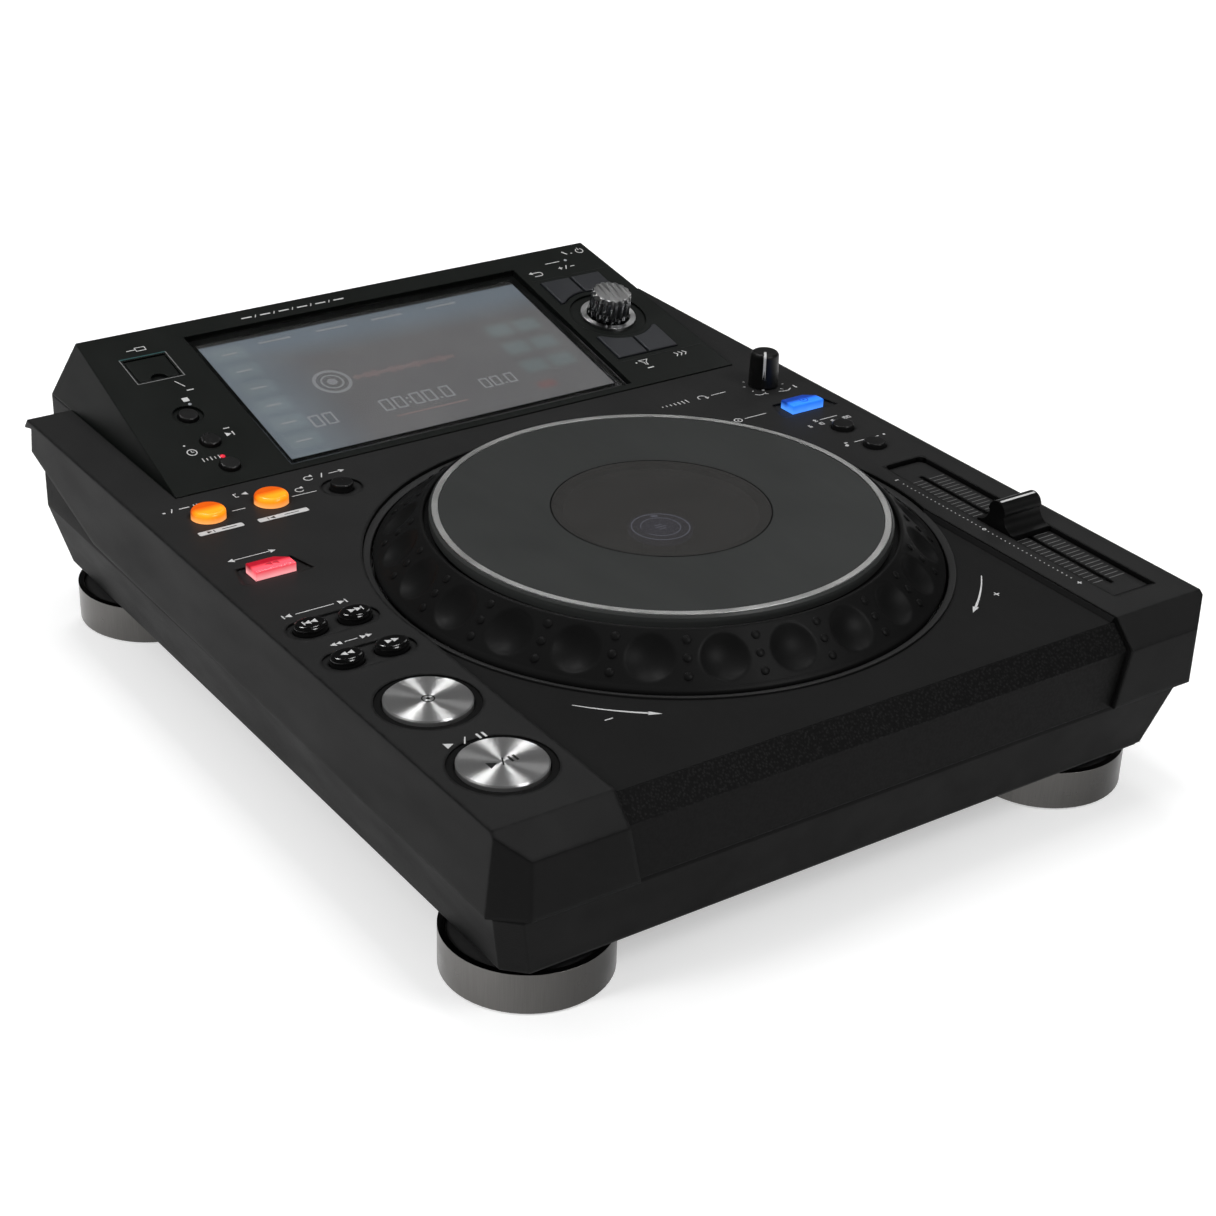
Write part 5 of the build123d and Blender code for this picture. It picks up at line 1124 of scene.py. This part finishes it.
small_dome = [(0, -0.3), (0.75, -0.3), (0.75, 0.1), (0.5, 0.3), (0, 0.36)]
large_dome = [(0, -0.3), (1.1, -0.3), (1.1, 0.1), (0.8, 0.35), (0, 0.42)]
for name, x, along, dome, paint, slot in (
        ("standby_lamp", 108.5, 99.4, small_dome, pale_lamp, "clear"),
        # A small pale dome beside the stop key.
        ("stop_pale_dot", -99.8, 54.7, small_dome, pale_lamp, "clear"),
        ("quantize_lamp", -103.5, 17.9, large_dome, red_lamp, "red")):
    lamp = Shapes(slope_plane(x, along))
    lamp.lathe(dome)
    piece(name, lamp, paint, "case", 40)


# Picture on the display: rings, dashes, a wave and a clock of zeros

def wave_height(step):
    """Uneven heights, from two waves of different lengths."""
    return 1.6 + 4.0 * abs(math.sin(0.83 * step) * math.cos(0.31 * step + 0.6))


printed("screen_lines", display_plane, screen_pale, "display", dict(
    arc=[(-36, 0, 7.6, 0, 360, 40, 1.5), (-36, 0, 4.6, 0, 360, 28, 0.8)],
    dot=[(-36, 0, 2.2)],
    number=[("00", -57.5, -26.6, 7.2, 0.9), ("00:00.0", -25, -26.6, 7.2, 0.9),
            ("00.0", 22.6, -26.6, 6.2, 0.8)],
    box=[(-44 + 27 * i, 36.2, 15, 1.2) for i in range(4)]
    + [(tab_x, tab_first - tab_pitch * i, 7, 1) for i in range(tab_count)],
))
printed("screen_wave", display_plane, screen_red, "display", dict(
    box=[(-26 + 1.06 * i, -0.5, 0.6, wave_height(i)) for i in range(46)] + [(-6, -31.6, 34, 0.8)]))


# Stage: floor, lights and the camera, placed in metres

def make_floor():
    half_size = 6.0
    cells = 12
    mesh = bpy.data.meshes.new("floor")
    work = bmesh.new()
    bmesh.ops.create_grid(work, x_segments=cells, y_segments=cells, size=half_size)
    work.to_mesh(mesh)
    work.free()
    paper = Paint("floor_paper", Roughness=0.9, Specular_IOR_Level=0.1, Emission_Color=grey(1.0),
                  Emission_Strength=0.48)
    paper.set("Base Color", paper.blend(paper.noise(400, 2), grey(0.7), grey(0.73)))
    mesh.materials.append(paper.done())
    add_object("floor", mesh)


def add_softbox(name, place, aim, width, depth, power, glossy=True):
    light = bpy.data.lights.new(name, "AREA")
    light.shape = "RECTANGLE"
    light.size = width
    light.size_y = depth
    light.energy = power
    lamp = add_object(name, light)
    lamp.location = place
    lamp.visible_glossy = glossy
    lamp.rotation_euler = (Vector(aim) - Vector(place)).to_track_quat("-Z", "Y").to_euler()


def set_world(low_strength, high_strength, front_share):
    """A pale backdrop that fades to a dim ceiling, and is dimmer in front of the set."""
    fade_starts, fade_ends = 0.26, 0.54
    front_ends, back_starts = -0.1, 0.55
    world = bpy.data.worlds.new("studio")
    tree = Tree(world)
    towards = tree.split(tree.node("TexCoord").outputs["Generated"])
    fade = tree.spread(towards["Z"], fade_starts, fade_ends, low_strength, high_strength, "SMOOTHSTEP")
    behind = tree.spread(towards["Y"], front_ends, back_starts, front_share, 1.0, "SMOOTHSTEP")
    tree.links.new(tree.sums("MULTIPLY", fade, behind), tree.nodes["Background"].inputs["Strength"])
    bpy.context.scene.world = world


def set_camera():
    azimuth = -35.17
    elevation = 27.96
    roll = 1.88
    distance = 942.1
    shift_right = 14.75
    shift_up = -23.8
    aim = Vector((0, 0, 60))
    focal_px = 2420.04
    image_px = 1216
    sensor = 36.0
    flat, rise = polar(1, elevation)
    back = Vector((*polar(flat, azimuth - 90), rise))
    right = to_top.cross(back).normalized()
    up = back.cross(right)
    place = aim + back * distance + right * shift_right + up * shift_up
    level, tilt = polar(1, roll)
    axes = Matrix((right * level + up * tilt, up * level - right * tilt, back)).transposed().to_4x4()
    data = bpy.data.cameras.new("camera")
    data.sensor_width = sensor
    data.lens = sensor * focal_px / image_px
    data.clip_start = 0.01
    data.clip_end = 50
    camera = add_object("camera", data)
    camera.matrix_world = Matrix.Translation(place * mm) @ axes
    bpy.context.scene.camera = camera


make_floor()
set_world(low_strength=1.15, high_strength=0.24, front_share=0.45)
add_softbox("overhead", (-0.2, -0.1, 2.6), (0, -0.1, 0), 3.6, 3.6, 46, glossy=False)
add_softbox("far_left", (0.01, 1.09, 2.03), (-0.1, -0.1, 0.08), 0.4, 0.42, 11)
add_softbox("far_right", (0.79, 0.52, 2.09), (-0.1, -0.1, 0.08), 0.32, 0.36, 5)
add_softbox("far_side", (1.5, 0.95, 1.45), (0.1, 0.1, 0.1), 0.6, 0.6, 1.5)
add_softbox("left", (-2.2, -0.1, 1.3), (0, 0, 0.05), 0.4, 0.8, 28, glossy=False)
add_softbox("front_fill", (0.5, -1.4, 1.5), (-0.1, -0.1, 0.05), 0.6, 0.6, 13)
set_camera()
bpy.context.scene.view_settings.view_transform = "Standard"
